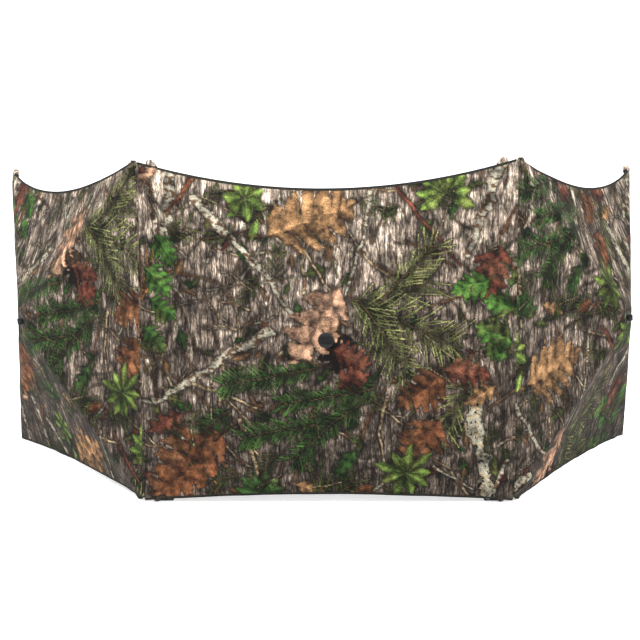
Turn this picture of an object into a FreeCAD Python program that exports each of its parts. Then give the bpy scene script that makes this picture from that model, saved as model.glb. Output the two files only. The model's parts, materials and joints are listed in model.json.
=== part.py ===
"""Three-panel hub blind: a standing screen of three fabric panels, each pushed out by a hub and four poles.

Every panel is drawn in the same panel frame: X across the panel, +Y towards the hider, Z up.
The corners of the frame lie in the plane Y = 0 and the hub stands out towards -Y.
The centre panel keeps that frame, and the two wings are swung back from it about the seams.
"""
import FreeCAD, Part
import math
import os
import re

import Sketcher

V = FreeCAD.Vector
doc = FreeCAD.newDocument("PanelBlind")

# ---------------------------------------------------------------- driving dimensions

DIMENSIONS = {
    # panels
    "panel_width": 1100,
    "panel_height": 1000,
    "hub_proud": 160,
    "left_angle": 55,
    "right_angle": 60,
    "closed_angle": 115,
    "seam_setback": 6,
    # fabric skins
    "skin": 1.2,
    "skin_side_gap": 6,
    "skin_corner_front": 10.5,
    "skin_hub_front": 13,
    "skin_hub_hole": 16.5,
    "skin_square": 64,
    "top_sag": 80,
    "bottom_sag": 20,
    "side_sag": 34,
    # poles
    "rod_radius": 4.75,
    "rod_start": 12,
    "seam_tip_inset": 30,
    "outer_tip_inset": 10,
    "tip_overreach": 4,
    "packed_angle": 86,
    # steel ferrule at the hub end
    "ferrule_radius": 5.6,
    "ferrule_length": 48,
    "pin_hole_radius": 2.05,
    # plastic cap at the corner end
    "cap_length": 36,
    "cap_radius": 7,
    "cap_collar_radius": 8.2,
    "cap_collar": 5,
    "cap_end_wall": 9,
    "cap_bevel": 3,
    # hub
    "hub_radius": 42,
    "hub_back": 13,
    "hub_front": 12,
    "pivot_radius": 27,
    "slot_width": 12,
    "slot_inner": 20,
    "slot_floor": 10,
    "pin_radius": 2,
    "pin_length": 26,
    "cover_radius": 22,
    "cover_boss_radius": 9,
    "cover_boss": 3,
    "cover_thick": 3,
    "cover_bevel": 1.2,
    # webbing pull loop on the hub
    "loop_width": 40,
    "loop_depth": 11,
    "loop_strap": 18,
    "webbing": 2,
    # seams
    "welt_radius": 3.5,
    "welt_end_gap": 16,
    "gusset_width": 18,
    "gusset_height": 40,
    "gusset_drop": 22,
    "gusset_back": 7,
    # stake tabs at the feet
    "tab_length": 52,
    "tab_width": 24,
    "tab_thick": 3,
    "tab_lift": -5,
    "tab_overlap": 4,
    "tab_hole_radius": 5.5,
    "tab_hole_edge": 13,
}

sheet = doc.addObject("Spreadsheet::Sheet", "Dimensions")
for row, (alias, number) in enumerate(DIMENSIONS.items(), start=1):
    sheet.set(f"A{row}", alias)
    sheet.set(f"B{row}", str(number))
    sheet.setAlias(f"B{row}", alias)
doc.recompute()


def bound(formula):
    """The formula with every dimension's name pointing at its cell."""
    return re.sub(r"[a-z]+(_[a-z]+)+|skin|webbing", lambda word: "Dimensions." + word.group(0), formula)


def value(formula):
    """The formula's value, in mm or degrees."""
    return float(sheet.evalExpression(bound(formula)))


# ---------------------------------------------------------------- building helpers

def primitive(kind, name, at=(), turn=None, **sizes):
    """A Part primitive whose sizes, and position where it is a tool, are formulas of the sheet."""
    piece = doc.addObject("Part::" + kind, name)
    if turn is not None:
        piece.Placement = FreeCAD.Placement(V(), turn)
    for prop, formula in sizes.items():
        piece.setExpression(prop, bound(str(formula)))
    for axis, formula in zip("xyz", at):
        piece.setExpression("Placement.Base." + axis, bound(str(formula)))
    return piece


def fused(name, pieces):
    joined = doc.addObject("Part::MultiFuse", name)
    joined.Shapes = pieces
    return joined


def cut(name, base, tool):
    remainder = doc.addObject("Part::Cut", name)
    remainder.Base = base
    remainder.Tool = tool
    return remainder


def body_with_outline(name, plane, points):
    """A PartDesign body with a closed sketch of straight lines; each corner is a pair of formulas."""
    body = doc.addObject("PartDesign::Body", name)
    plane_object = [feature for feature in body.Origin.OriginFeatures if feature.Role == plane][0]
    sketch = body.newObject("Sketcher::SketchObject", name + "_outline")
    sketch.AttachmentSupport = [(plane_object, "")]
    sketch.MapMode = "FlatFace"
    corners = [(value(x), value(y)) for x, y in points]
    for start, end in zip(corners, corners[1:] + corners[:1]):
        sketch.addGeometry(Part.LineSegment(V(*start, 0), V(*end, 0)))
    for line in range(len(points)):
        sketch.addConstraint(Sketcher.Constraint("Coincident", line, 2, (line + 1) % len(points), 1))
    for line, (formulas, numbers) in enumerate(zip(points, corners)):
        for kind, formula, number in zip(("DistanceX", "DistanceY"), formulas, numbers):
            index = sketch.addConstraint(Sketcher.Constraint(kind, -1, 1, line, 1, number))
            sketch.setExpression(f"Constraints[{index}]", bound(formula))
    return body, sketch


def revolved(name, points):
    """A body turned about its Z axis; the corners are (radius, height)."""
    body, sketch = body_with_outline(name, "XZ_Plane", points)
    turning = body.newObject("PartDesign::Revolution", name + "_turn")
    turning.Profile = sketch
    turning.ReferenceAxis = (sketch, ["V_Axis"])
    turning.Angle = 360
    return body


def frame_placement(origin, x_axis, z_axis):
    """The placement whose local X and Z axes point along the two given, perpendicular directions."""
    return FreeCAD.Placement(origin, FreeCAD.Rotation(x_axis, V(), z_axis, "ZXY"))


# ---------------------------------------------------------------- panels and poles

def wing_placement(sign, angle):
    """The placement that swings a panel back from its neighbour about the seam on that side."""
    seam = V(sign * value("panel_width") / 2, -value("seam_setback"), 0)
    swing = FreeCAD.Placement(V(), FreeCAD.Rotation(V(0, 0, sign), angle), seam)
    return swing.multiply(FreeCAD.Placement(V(sign * value("panel_width"), 0, 0), FreeCAD.Rotation()))


class Panel:
    """One panel: its placement, and which of its two sides are seams."""

    def __init__(self, name, placement, sides):
        self.name = name
        self.placement = placement
        # sides maps "-1" (left) and "1" (right) to the side's word and whether it is a seam
        self.sides = sides


class Pole:
    """One pole of a panel, from its pivot pin in the hub to the corner of the panel."""

    def __init__(self, panel, across, up):
        word, is_seam = panel.sides[across]
        self.panel = panel
        self.across = across
        self.up = up
        self.name = "{}_{}_{}".format(panel.name, word, "top" if up > 0 else "bottom")
        self.inset = "seam_tip_inset" if is_seam else "outer_tip_inset"
        self.hub = V(0, -value("hub_proud"), value("panel_height") / 2)
        self.tip = V(across * value(f"panel_width/2 - {self.inset}"), 0,
                     value("panel_height") / 2 + up * value("panel_height/2 + tip_overreach"))
        spoke = self.tip - self.hub
        spoke.y = 0
        self.spoke = V(spoke).normalize()
        self.pivot = self.hub + self.spoke * value("pivot_radius")
        # a positive turn about this axis swings the pole from its spoke out towards -Y
        self.axis = V(0, 1, 0).cross(self.spoke).normalize()
        self.direction = (self.tip - self.pivot).normalize()

    def length_formula(self):
        flat = (f"(sqrt((panel_width/2 - {self.inset})^2 + (panel_height/2 + tip_overreach)^2)"
                " - pivot_radius)")
        return f"sqrt({flat}^2 + hub_proud^2)"

    def placement(self):
        return frame_placement(self.pivot, self.axis, self.direction)


PANELS = [
    Panel("centre", FreeCAD.Placement(), {-1: ("left", True), 1: ("right", True)}),
    Panel("left", wing_placement(-1, value("left_angle")), {-1: ("outer", False), 1: ("inner", True)}),
    Panel("right", wing_placement(1, value("right_angle")), {-1: ("inner", True), 1: ("outer", False)}),
]
for panel in PANELS:
    panel.poles = [Pole(panel, across, up) for across in (-1, 1) for up in (1, -1)]

nodes = []


def shifted(x, y, z):
    """A placement moved by three formulas."""
    return FreeCAD.Placement(V(value(x), value(y), value(z)), FreeCAD.Rotation())


def add_node(piece, name, panel, local=FreeCAD.Placement()):
    """Names a finished piece and stands it in its panel."""
    piece.Label = name
    nodes.append((piece, panel.placement.multiply(local)))


# ---------------------------------------------------------------- pole pieces

def make_rod(pole):
    """Fibreglass rod between the bottoms of its two sockets."""
    return primitive("Cylinder", pole.name + "_rod_bar", Radius="rod_radius",
                     Height=f"{pole.length_formula()} - rod_start - cap_end_wall")


def make_ferrule(pole):
    """Steel ferrule with a round nose, a cross hole for the pivot pin and a socket for the rod."""
    name = pole.name + "_ferrule_"
    across = FreeCAD.Rotation(V(0, 1, 0), 90)
    sleeve = primitive("Cylinder", name + "sleeve", Radius="ferrule_radius", Height="ferrule_length")
    nose = primitive("Sphere", name + "nose", Radius="ferrule_radius")
    socket = primitive("Cylinder", name + "socket", at=(0, 0, "rod_start"), Radius="rod_radius",
                       Height="ferrule_length")
    hole = primitive("Cylinder", name + "hole", at=("-ferrule_radius * 2", 0, 0), turn=across,
                     Radius="pin_hole_radius", Height="ferrule_radius * 4")
    return cut(name + "cut", fused(name + "blank", [sleeve, nose]), fused(name + "holes", [socket, hole]))


def make_cap(pole):
    """Plastic corner cap: a cup over the rod's end with a collar at its mouth and a bevelled nose."""
    return revolved(pole.name + "_cap_cup", [
        ("rod_radius", "0"),
        ("cap_collar_radius", "0"),
        ("cap_collar_radius", "cap_collar"),
        ("cap_radius", "cap_collar + cap_collar_radius - cap_radius"),
        ("cap_radius", "cap_length - cap_bevel"),
        ("cap_radius - cap_bevel", "cap_length"),
        ("0", "cap_length"),
        ("0", "cap_length - cap_end_wall"),
        ("rod_radius", "cap_length - cap_end_wall"),
    ])


def add_pole(pole):
    """Stands the pole's pieces in its own frame: Z from the pivot pin to the corner."""
    place = pole.placement()
    rod_place = place.multiply(shifted("0", "0", "rod_start"))
    cap_place = place.multiply(shifted("0", "0", pole.length_formula() + " - cap_length"))
    add_node(make_rod(pole), pole.name + "_rod", pole.panel, rod_place)
    add_node(make_ferrule(pole), pole.name + "_ferrule", pole.panel, place)
    add_node(make_cap(pole), pole.name + "_cap", pole.panel, cap_place)


# ---------------------------------------------------------------- hub pieces

def spoke_turn(pole):
    """The turn in the hub's frame (X across, Y up, Z out of the panel) from X to the pole's spoke."""
    return FreeCAD.Rotation(V(0, 0, 1), math.degrees(math.atan2(pole.spoke.z, pole.spoke.x)))


def on_spoke(turn, radius, tangent=0, out=0):
    """A point in the hub's frame, given along a spoke, across it and out of the panel."""
    return turn.multVec(V(radius, tangent, out))


def make_hub_body(panel):
    """Moulded disc with four slots that are open at the rim and the front, so the poles fold forwards."""
    name = panel.name + "_hub_"
    disc = primitive("Cylinder", name + "disc", at=(0, 0, "-hub_back"), Radius="hub_radius",
                     Height="hub_back + hub_front")
    tools = []
    for pole in panel.poles:
        turn = spoke_turn(pole)
        slot = primitive("Box", pole.name + "_slot", Length="hub_radius", Width="slot_width",
                         Height="slot_floor + hub_front + 1")
        corner = on_spoke(turn, value("slot_inner"), -value("slot_width/2"), -value("slot_floor"))
        slot.Placement = FreeCAD.Placement(corner, turn)
        bore = primitive("Cylinder", pole.name + "_pin_bore", Radius="pin_radius", Height="pin_length")
        start = on_spoke(turn, value("pivot_radius"), value("pin_length/2"))
        bore.Placement = FreeCAD.Placement(start, turn.multiply(FreeCAD.Rotation(V(1, 0, 0), 90)))
        tools += [slot, bore]
    return cut(name + "slotted", disc, fused(name + "tools", tools))


def make_hub_pins(panel):
    """Four pivot pins, each across its slot."""
    pins = []
    for pole in panel.poles:
        turn = spoke_turn(pole)
        pin = primitive("Cylinder", pole.name + "_pin", Radius="pin_radius", Height="pin_length")
        start = on_spoke(turn, value("pivot_radius"), value("pin_length/2"))
        pin.Placement = FreeCAD.Placement(start, turn.multiply(FreeCAD.Rotation(V(1, 0, 0), 90)))
        pins.append(pin)
    return fused(panel.name + "_hub_pin_set", pins)


def make_hub_cover(panel):
    """Washer that clamps the skin against the hub, with a boss through the skin's centre hole."""
    front = "hub_front + cover_boss + cover_thick"
    return revolved(panel.name + "_hub_cover_washer", [
        ("0", "hub_front"),
        ("cover_boss_radius", "hub_front"),
        ("cover_boss_radius", "hub_front + cover_boss"),
        ("cover_radius", "hub_front + cover_boss"),
        ("cover_radius", f"{front} - cover_bevel"),
        ("cover_radius - cover_bevel", front),
        ("0", front),
    ])


def stadium(name, inset):
    """A flat-sided round-ended block, as deep as the pull loop less the inset all round."""
    radius = f"(loop_depth/2 - {inset})"
    half_run = "(loop_width/2 - loop_depth/2)"
    front = "hub_front + cover_boss + cover_thick"
    along = FreeCAD.Rotation(V(1, 0, 0), -90)
    block = primitive("Box", name + "_block", at=(f"-{half_run}", "-loop_strap/2", f"{front} + {inset}"),
                      Length=f"2 * {half_run}", Width="loop_strap", Height=f"2 * {radius}")
    ends = [primitive("Cylinder", name + word, at=(f"{side} * {half_run}", "-loop_strap/2",
                                                   f"{front} + loop_depth/2"),
                      turn=along, Radius=radius, Height="loop_strap")
            for word, side in (("_left_end", "(-1)"), ("_right_end", "1"))]
    return fused(name, [block] + ends)


def make_pull_loop(panel):
    """Flattened loop of webbing sewn to the hub, to pull the panel open by."""
    name = panel.name + "_pull_loop_"
    return cut(name + "band", stadium(name + "outside", "0"), stadium(name + "inside", "webbing"))


def add_hub(panel):
    hub = frame_placement(panel.poles[0].hub, V(1, 0, 0), V(0, -1, 0))
    add_node(make_hub_body(panel), panel.name + "_hub_body", panel, hub)
    add_node(make_hub_pins(panel), panel.name + "_hub_pins", panel, hub)
    add_node(make_hub_cover(panel), panel.name + "_hub_cover", panel, hub)
    add_node(make_pull_loop(panel), panel.name + "_pull_loop", panel, hub)


# ---------------------------------------------------------------- fabric skins

def skin_corner(across, up):
    return V(across * value("panel_width/2 - skin_side_gap"), -value("skin_corner_front"),
             value("panel_height") / 2 + up * value("panel_height/2"))


def flat_face(loop, shift):
    """A flat face inside a closed loop of edges, moved by the shift."""
    outline = Part.Wire(Part.__sortEdges__([edge.translated(shift) for edge in loop]))
    return Part.Face(outline)


def make_skin(panel):
    """Sheet with a flat square over the hub and four flat gores from it to the hems, cut to a curve."""
    centre = V(0, -value("hub_proud + skin_hub_front"), value("panel_height/2"))
    thickness = V(0, -value("skin"), 0)
    corners = [skin_corner(across, up) for across, up in ((-1, 1), (1, 1), (1, -1), (-1, -1))]
    spokes = [V(corner.x, 0, corner.z - centre.z).normalize() for corner in corners]
    square = [centre + spoke * value("skin_square") for spoke in spokes]
    hole = [centre + spoke * value("skin_hub_hole") for spoke in spokes]
    side_sag = {across: 0 if is_seam else value("side_sag") for across, (_, is_seam) in panel.sides.items()}
    sags = [value("top_sag"), side_sag[1], value("bottom_sag"), side_sag[-1]]
    faces = []
    for index, sag in enumerate(sags):
        after = (index + 1) % len(corners)
        middle = (corners[index] + corners[after]) * 0.5
        inward = (square[index] + square[after]) * 0.5 - middle
        middle += inward * (sag / V(inward.x, 0, inward.z).Length)
        if sag == 0:
            hem = Part.LineSegment(corners[index], corners[after]).toShape()
        else:
            hem = Part.Arc(corners[index], middle, corners[after]).toShape()
        rim = Part.LineSegment(square[index], square[after]).toShape()
        gap = Part.LineSegment(hole[index], hole[after]).toShape()
        creases = [Part.LineSegment(square[end], corners[end]).toShape() for end in (index, after)]
        spokes_edges = [Part.LineSegment(hole[end], square[end]).toShape() for end in (index, after)]
        for shift in (V(), thickness):
            faces.append(flat_face([hem, rim] + creases, shift))
            faces.append(flat_face([rim, gap] + spokes_edges, shift))
        for edge in (hem, gap):
            faces.append(Part.makeRuledSurface(edge, edge.translated(thickness)))
    shell = Part.makeShell(faces)
    shell.sewShape()
    solid = Part.makeSolid(shell)
    if solid.Volume < 0:
        solid.reverse()
    skin = doc.addObject("Part::Feature", panel.name + "_skin_sheet")
    skin.Shape = solid
    return skin


# ---------------------------------------------------------------- seams and feet

def make_welt(panel):
    """Sewn cord down the seam, on the axis that the wing swings about."""
    return primitive("Cylinder", panel.name + "_seam_welt_cord", Radius="welt_radius",
                     Height="panel_height - 2 * welt_end_gap")


def make_gusset(panel):
    """Webbing patch behind the top of the seam, which ties the two corner pockets together."""
    return primitive("Box", panel.name + "_seam_gusset_patch", Length="gusset_width", Width="webbing",
                     Height="gusset_height")


def make_stake_tab(pole):
    """Webbing tab with a stake hole; X runs from the corner cap towards the middle of the panel."""
    name = pole.name + "_stake_tab_"
    body, sketch = body_with_outline(name + "strap", "XY_Plane", [
        ("0", "0"),
        ("tab_length", "0"),
        ("tab_length", "tab_width"),
        ("0", "tab_width"),
    ])
    strap = body.newObject("PartDesign::Pad", name + "pad")
    strap.Profile = sketch
    strap.setExpression("Length", bound("tab_thick"))
    eyelet = primitive("Cylinder", name + "eyelet", at=("tab_length - tab_hole_edge", "tab_width/2", 0),
                       Radius="tab_hole_radius", Height="tab_thick")
    return cut(name + "punched", body, eyelet)


def add_seam(panel, sign):
    seam = shifted(f"{sign} * panel_width/2", "-seam_setback", "0")
    gusset_place = shifted("-gusset_width/2", "gusset_back", "panel_height - gusset_drop - gusset_height")
    add_node(make_gusset(panel), panel.name + "_seam_gusset", PANELS[0], seam.multiply(gusset_place))
    add_node(make_welt(panel), panel.name + "_seam_welt", PANELS[0],
             seam.multiply(shifted("0", "0", "welt_end_gap")))


def tab_placement(pole):
    """The tab starts inside the cap's nose; a tab on the right is the left one turned over."""
    start = V(pole.tip.x - pole.across * (value("cap_radius") - value("tab_overlap")), 0, value("tab_lift"))
    if pole.across < 0:
        return FreeCAD.Placement(start, FreeCAD.Rotation())
    turned = FreeCAD.Rotation(V(0, 1, 0), 180)
    return FreeCAD.Placement(start + V(0, 0, value("tab_thick")), turned)


def add_stake_tab(pole):
    add_node(make_stake_tab(pole), pole.name + "_stake_tab", pole.panel, tab_placement(pole))


# ---------------------------------------------------------------- the whole blind

def staked_poles():
    """The bottom poles that carry a stake tab: both of the centre panel, and each wing's outer one."""
    centre, left, right = PANELS
    return [centre.poles[1], centre.poles[3], left.poles[1], right.poles[3]]


for panel in PANELS:
    add_hub(panel)
    for pole in panel.poles:
        add_pole(pole)
    add_node(make_skin(panel), panel.name + "_skin", panel)
for panel, sign in zip(PANELS[1:], (-1, 1)):
    add_seam(panel, sign)
for pole in staked_poles():
    add_stake_tab(pole)

doc.recompute()
for piece, place in nodes:
    piece.Placement = place
doc.recompute()

# the origin is the middle of the blind's footprint, on the ground
whole = FreeCAD.BoundBox()
for piece, place in nodes:
    whole.add(piece.Shape.optimalBoundingBox(True, False))
origin = V(whole.Center.x, whole.Center.y, whole.ZMin)
to_origin = FreeCAD.Placement(V(-origin.x, -origin.y, -origin.z), FreeCAD.Rotation())
for piece, place in nodes:
    piece.Placement = to_origin.multiply(place)
doc.recompute()

for item in doc.Objects:
    if "Invalid" in item.State or "Error" in item.State:
        raise RuntimeError(f"{item.Label} did not rebuild: {item.State}")
for piece, place in nodes:
    if piece.Shape.isNull() or not piece.Shape.isValid() or piece.Shape.Volume <= 0:
        raise RuntimeError(f"{piece.Label} has no valid shape")

os.makedirs("parts", exist_ok=True)
for piece, place in nodes:
    piece.Shape.exportStep(os.path.join("parts", piece.Label + ".step"))
print(f"{len(nodes)} nodes, {whole.XLength:.1f} x {whole.YLength:.1f} x {whole.ZLength:.1f} mm")
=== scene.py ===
"""Looks of the three-panel hub blind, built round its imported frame.

Everything is in the row frame: metres, +Z up, the front of the centre panel towards -Y. Each panel also has
a frame of its own, with its origin at the middle of the four corners: x across the panel, y towards the hider
and z up. The hub of a panel stands out towards -y.
"""
import json
import math

import bpy
import numpy as np
from mathutils import Matrix, Vector


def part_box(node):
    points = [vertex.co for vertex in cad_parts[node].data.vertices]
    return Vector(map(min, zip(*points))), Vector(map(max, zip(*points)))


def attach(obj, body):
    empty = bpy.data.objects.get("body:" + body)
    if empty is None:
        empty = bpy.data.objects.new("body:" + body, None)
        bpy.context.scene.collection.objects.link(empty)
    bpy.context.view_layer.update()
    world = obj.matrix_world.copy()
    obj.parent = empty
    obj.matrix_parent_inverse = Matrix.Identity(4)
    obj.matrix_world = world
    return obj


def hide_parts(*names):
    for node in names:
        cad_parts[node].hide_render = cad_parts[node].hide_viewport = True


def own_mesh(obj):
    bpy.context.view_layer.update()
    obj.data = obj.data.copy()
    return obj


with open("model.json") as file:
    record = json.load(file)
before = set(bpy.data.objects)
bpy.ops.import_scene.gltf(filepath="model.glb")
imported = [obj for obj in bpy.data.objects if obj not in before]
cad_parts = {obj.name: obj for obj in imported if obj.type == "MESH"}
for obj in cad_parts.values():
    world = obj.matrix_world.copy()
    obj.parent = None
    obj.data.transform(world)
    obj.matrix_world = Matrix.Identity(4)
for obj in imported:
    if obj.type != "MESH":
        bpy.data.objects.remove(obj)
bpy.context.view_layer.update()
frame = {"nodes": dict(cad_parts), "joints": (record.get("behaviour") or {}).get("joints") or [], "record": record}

MM = 0.001
JOINTS = {joint["name"]: joint for joint in frame["joints"]}
MOUNTS = {mount["name"]: mount for mount in frame["record"]["mounts"]}


def joint_place(name):
    return Vector(JOINTS[name]["pos_m"])


# ---------------------------------------------------------------- sizes from the frame

PANEL_NAMES = ("centre", "left", "right")
SIDE_WORDS = {"centre": {-1: "left", 1: "right"},
              "left": {-1: "outer", 1: "inner"},
              "right": {-1: "inner", 1: "outer"}}
# the pole whose pin has no turn joint named after it
PIN_JOINTS = {"centre_left_top": "frame_fold", "left_inner_top": "left_hub_turn",
              "right_inner_top": "right_hub_turn"}
# the corners of a panel: the side across it, and down or up
CORNERS = ((-1, -1), (-1, 1), (1, -1), (1, 1))

PANEL_WIDTH = (joint_place("right_wing_fold") - joint_place("left_wing_fold")).length
PANEL_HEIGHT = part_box("centre_skin")[1].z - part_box("centre_skin")[0].z
HUB_PROUD = joint_place("left_corner_turn").y - joint_place("frame_fold").y
# how far the outer face of the cloth lies in front of the pivot pins at the hub
HUB_FRONT = joint_place("frame_fold").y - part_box("centre_skin")[0].y

SIDE_GAP = 6 * MM            # from a free side of the panel to the edge of its cloth
SEAM_GAP = 3.8 * MM          # from the line of a seam to the cloth, which meets the welt there
CORNER_FRONT = 11.7 * MM     # from the plane of the corners to the outer face of the cloth
SKIN = 1.2 * MM              # thickness of the cloth
TOP_SAG = 80 * MM            # how far the middle of a free hem is drawn in from the corners
BOTTOM_SAG = 20 * MM
OUTER_SAG = 34 * MM
HUB_SQUARE = 43 * MM         # half of the flat square of cloth over the hub
HUB_HOLE = 39 * MM           # the quarters of a skin start here, under the hub patch
CELL = 3.2 * MM              # of the cloth's mesh
CLOTH_X = PANEL_WIDTH / 2 - SIDE_GAP
CLOTH_Z = PANEL_HEIGHT / 2


class Panel:
    """One panel: where it stands, and the shape of its cloth."""

    def __init__(self, name):
        self.name = name
        self.pins = {corner: joint_place(self.pin_joint(*corner)) for corner in CORNERS}
        self.hub = sum(self.pins.values(), Vector()) / len(self.pins)
        self.x_axis = (self.pins[1, 1] - self.pins[-1, 1]).normalized()
        self.z_axis = Vector((0, 0, 1))
        self.y_axis = self.z_axis.cross(self.x_axis)
        self.middle = self.hub + self.y_axis * HUB_PROUD
        self.turn = np.array([self.x_axis, self.y_axis, self.z_axis])
        outer = {across for across, word in SIDE_WORDS[name].items() if word == "outer"}
        self.side_sag = {across: OUTER_SAG if across in outer else 0.0 for across in (-1, 1)}
        self.reach = {across: PANEL_WIDTH / 2 - (SIDE_GAP if across in outer else SEAM_GAP)
                      for across in (-1, 1)}

    def pole(self, across, up):
        return f"{self.name}_{SIDE_WORDS[self.name][across]}_{'top' if up > 0 else 'bottom'}"

    def pole_body(self, across, up):
        return self.pole(across, up) + "_pole"

    def pin_joint(self, across, up):
        pole = self.pole(across, up)
        return PIN_JOINTS.get(pole, pole + "_turn")

    def hub_body(self):
        return self.name + "_hub"

    def to_row(self, points):
        """Panel points (n, 3) as row points."""
        return np.asarray(points) @ self.turn + np.array(self.middle)

    def to_panel(self, point):
        """A row point in the panel's frame."""
        return self.turn @ (np.array(point) - np.array(self.middle))

    def seam(self, across):
        return self.side_sag[across] == 0


# ---------------------------------------------------------------- smooth noise

NOISE_TABLE = 64


def smooth_noise(x, z, size, seed):
    """Noise from -1 to 1 with features of about the given size in metres, the same on each run."""
    table = np.random.default_rng(seed).uniform(-1, 1, (NOISE_TABLE, NOISE_TABLE))
    grid = np.stack([x, z]) / size
    cell = np.floor(grid).astype(int)
    share = grid - cell
    share = share * share * (3 - 2 * share)
    i, j = cell % NOISE_TABLE
    k, m = (cell + 1) % NOISE_TABLE
    low = table[i, j] * (1 - share[0]) + table[k, j] * share[0]
    high = table[i, m] * (1 - share[0]) + table[k, m] * share[0]
    return low * (1 - share[1]) + high * share[1]


def fade(value, start, end):
    """0 below start, 1 above end, smooth between."""
    share = np.clip((value - start) / (end - start), 0, 1)
    return share * share * (3 - 2 * share)


# ---------------------------------------------------------------- the shape of the cloth

RIDGE_ROUND = 0.05           # how soft the ridge over a pole is, as a share of the half panel
BELLY = 11 * MM              # how far a gore is drawn in between its poles
CORNER_FOLD = 3.4 * MM
CORNER_FOLD_REACH = 150 * MM
HUB_FOLD = 1.3 * MM
HEM_FLUTTER = 2.2 * MM
# depth, size and seed of the cloth's unevenness
CREASES = ((2.6 * MM, 230 * MM, 1), (1.1 * MM, 80 * MM, 2), (0.35 * MM, 22 * MM, 4))
HUB_CALM = (55 * MM, 130 * MM)    # the folds grow between these distances from the hub
SEAM_CALM = (40 * MM, 2 * MM)     # and end between these distances from a seam


def corner_folds(x, z, seed):
    """Folds that run out from the corners, where the cloth is gathered at the pole's tip."""
    total = np.zeros_like(x)
    for across, up in CORNERS:
        dx = CLOTH_X - across * x
        dz = CLOTH_Z - up * z
        distance = np.hypot(dx, dz)
        angle = np.arctan2(dz, dx)
        wander = 0.5 * smooth_noise(x, z, 90 * MM, seed + 3 * across + up)
        folds = 0.65 * np.sin(13 * angle + 2 * across + up + wander)
        folds += 0.35 * np.sin(29 * angle + up + 2 * wander)
        along_hems = 0.35 + 0.65 * np.cos(2 * angle) ** 2
        strength = fade(distance, 5 * MM, 45 * MM) * np.exp(-distance / CORNER_FOLD_REACH)
        total += CORNER_FOLD * folds * along_hems * strength
    return total


def cloth_depth(panel, x, z):
    """How far the outer face of the cloth stands at panel y, at panel x and z."""
    a = np.abs(x) / CLOTH_X
    b = np.abs(z) / CLOTH_Z
    steep = np.maximum(a, b)
    softness = RIDGE_ROUND * (1 - steep ** 3) + 1e-4
    overlap = np.maximum(softness - np.abs(a - b), 0) / softness
    level = steep + overlap ** 2 * softness / 4
    start = HUB_SQUARE / CLOTH_Z
    level = np.clip((level - start) / (1 - start), 0, None)
    depth = -CORNER_FRONT - (HUB_PROUD + HUB_FRONT - CORNER_FRONT) * (1 - level)

    radius = np.hypot(x, z)
    between_poles = 1 - (np.minimum(a, b) / np.maximum(steep, 1e-6)) ** 2
    away_from_hub = fade(radius, *HUB_CALM)
    depth += BELLY * np.sin(np.pi * np.clip(level, 0, 1)) * between_poles * away_from_hub
    seed = 10 * PANEL_NAMES.index(panel.name)
    creases = sum(height * smooth_noise(x, z, size, seed + extra) for height, size, extra in CREASES)
    spokes = np.arctan2(z, x)
    star = HUB_FOLD * np.sin(14 * spokes + seed) * np.exp(-np.maximum(radius - 60 * MM, 0) / (80 * MM))
    hem = HEM_FLUTTER * fade(steep, 0.86, 1) * smooth_noise(x, z, 60 * MM, seed + 5)
    folds = (creases + star) * away_from_hub + corner_folds(x, z, seed + 6) + hem
    still = np.ones_like(x)
    for across in (-1, 1):
        if panel.seam(across):
            still *= 1 - fade(across * x, CLOTH_X - SEAM_CALM[0], CLOTH_X - SEAM_CALM[1])
    return depth + folds * still


def cloth_points(panel, u, v, lift=0.0):
    """Points of the cloth's outer face, u and v being shares of the way from the hub to the hems."""
    across = np.where(u < 0, panel.side_sag[-1], panel.side_sag[1])
    reach = np.where(u < 0, panel.reach[-1], panel.reach[1])
    up = np.where(v < 0, BOTTOM_SAG, TOP_SAG)
    x = u * (reach - across * (1 - v ** 2))
    z = v * (CLOTH_Z - up * (1 - u ** 2))
    return np.stack([x, cloth_depth(panel, x, z) - lift, z], axis=1)


# ---------------------------------------------------------------- the printed pattern

def srgb(red, green, blue):
    """A screen colour as linear light."""
    shares = np.array([red, green, blue]) / 255
    return np.where(shares <= 0.04045, shares / 12.92, ((shares + 0.055) / 1.055) ** 2.4)


TAN = srgb(160, 130, 94)
PINK_TAN = srgb(180, 150, 126)
RED_BROWN = srgb(106, 66, 50)
ORANGE_BROWN = srgb(134, 94, 60)
GRASS_ORANGE = srgb(150, 112, 70)
BRIGHT_GREEN = srgb(88, 122, 60)
DEEP_GREEN = srgb(62, 88, 46)
YELLOW_GREEN = srgb(116, 134, 70)
OLIVE = srgb(92, 100, 58)
NEEDLE_TIP = srgb(160, 162, 112)
LICHEN = srgb(166, 162, 148)
LICHEN_WARM = srgb(160, 146, 120)
BARK_BROWN = srgb(104, 84, 64)
DARK = srgb(34, 28, 24)

PRINT_SEED = 71
INK_REACH = 9 * MM           # how far past its edge a motif's colour is known
NEEDLE_WIDTH = 2.9 * MM
TWIG_WIDTH = 3.4 * MM        # of the twig that carries a spray


def box_of(places, margin):
    """The rectangle round some places of the pattern, as its low and its high corner."""
    return np.min(places, axis=0) - margin, np.max(places, axis=0) + margin


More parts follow.
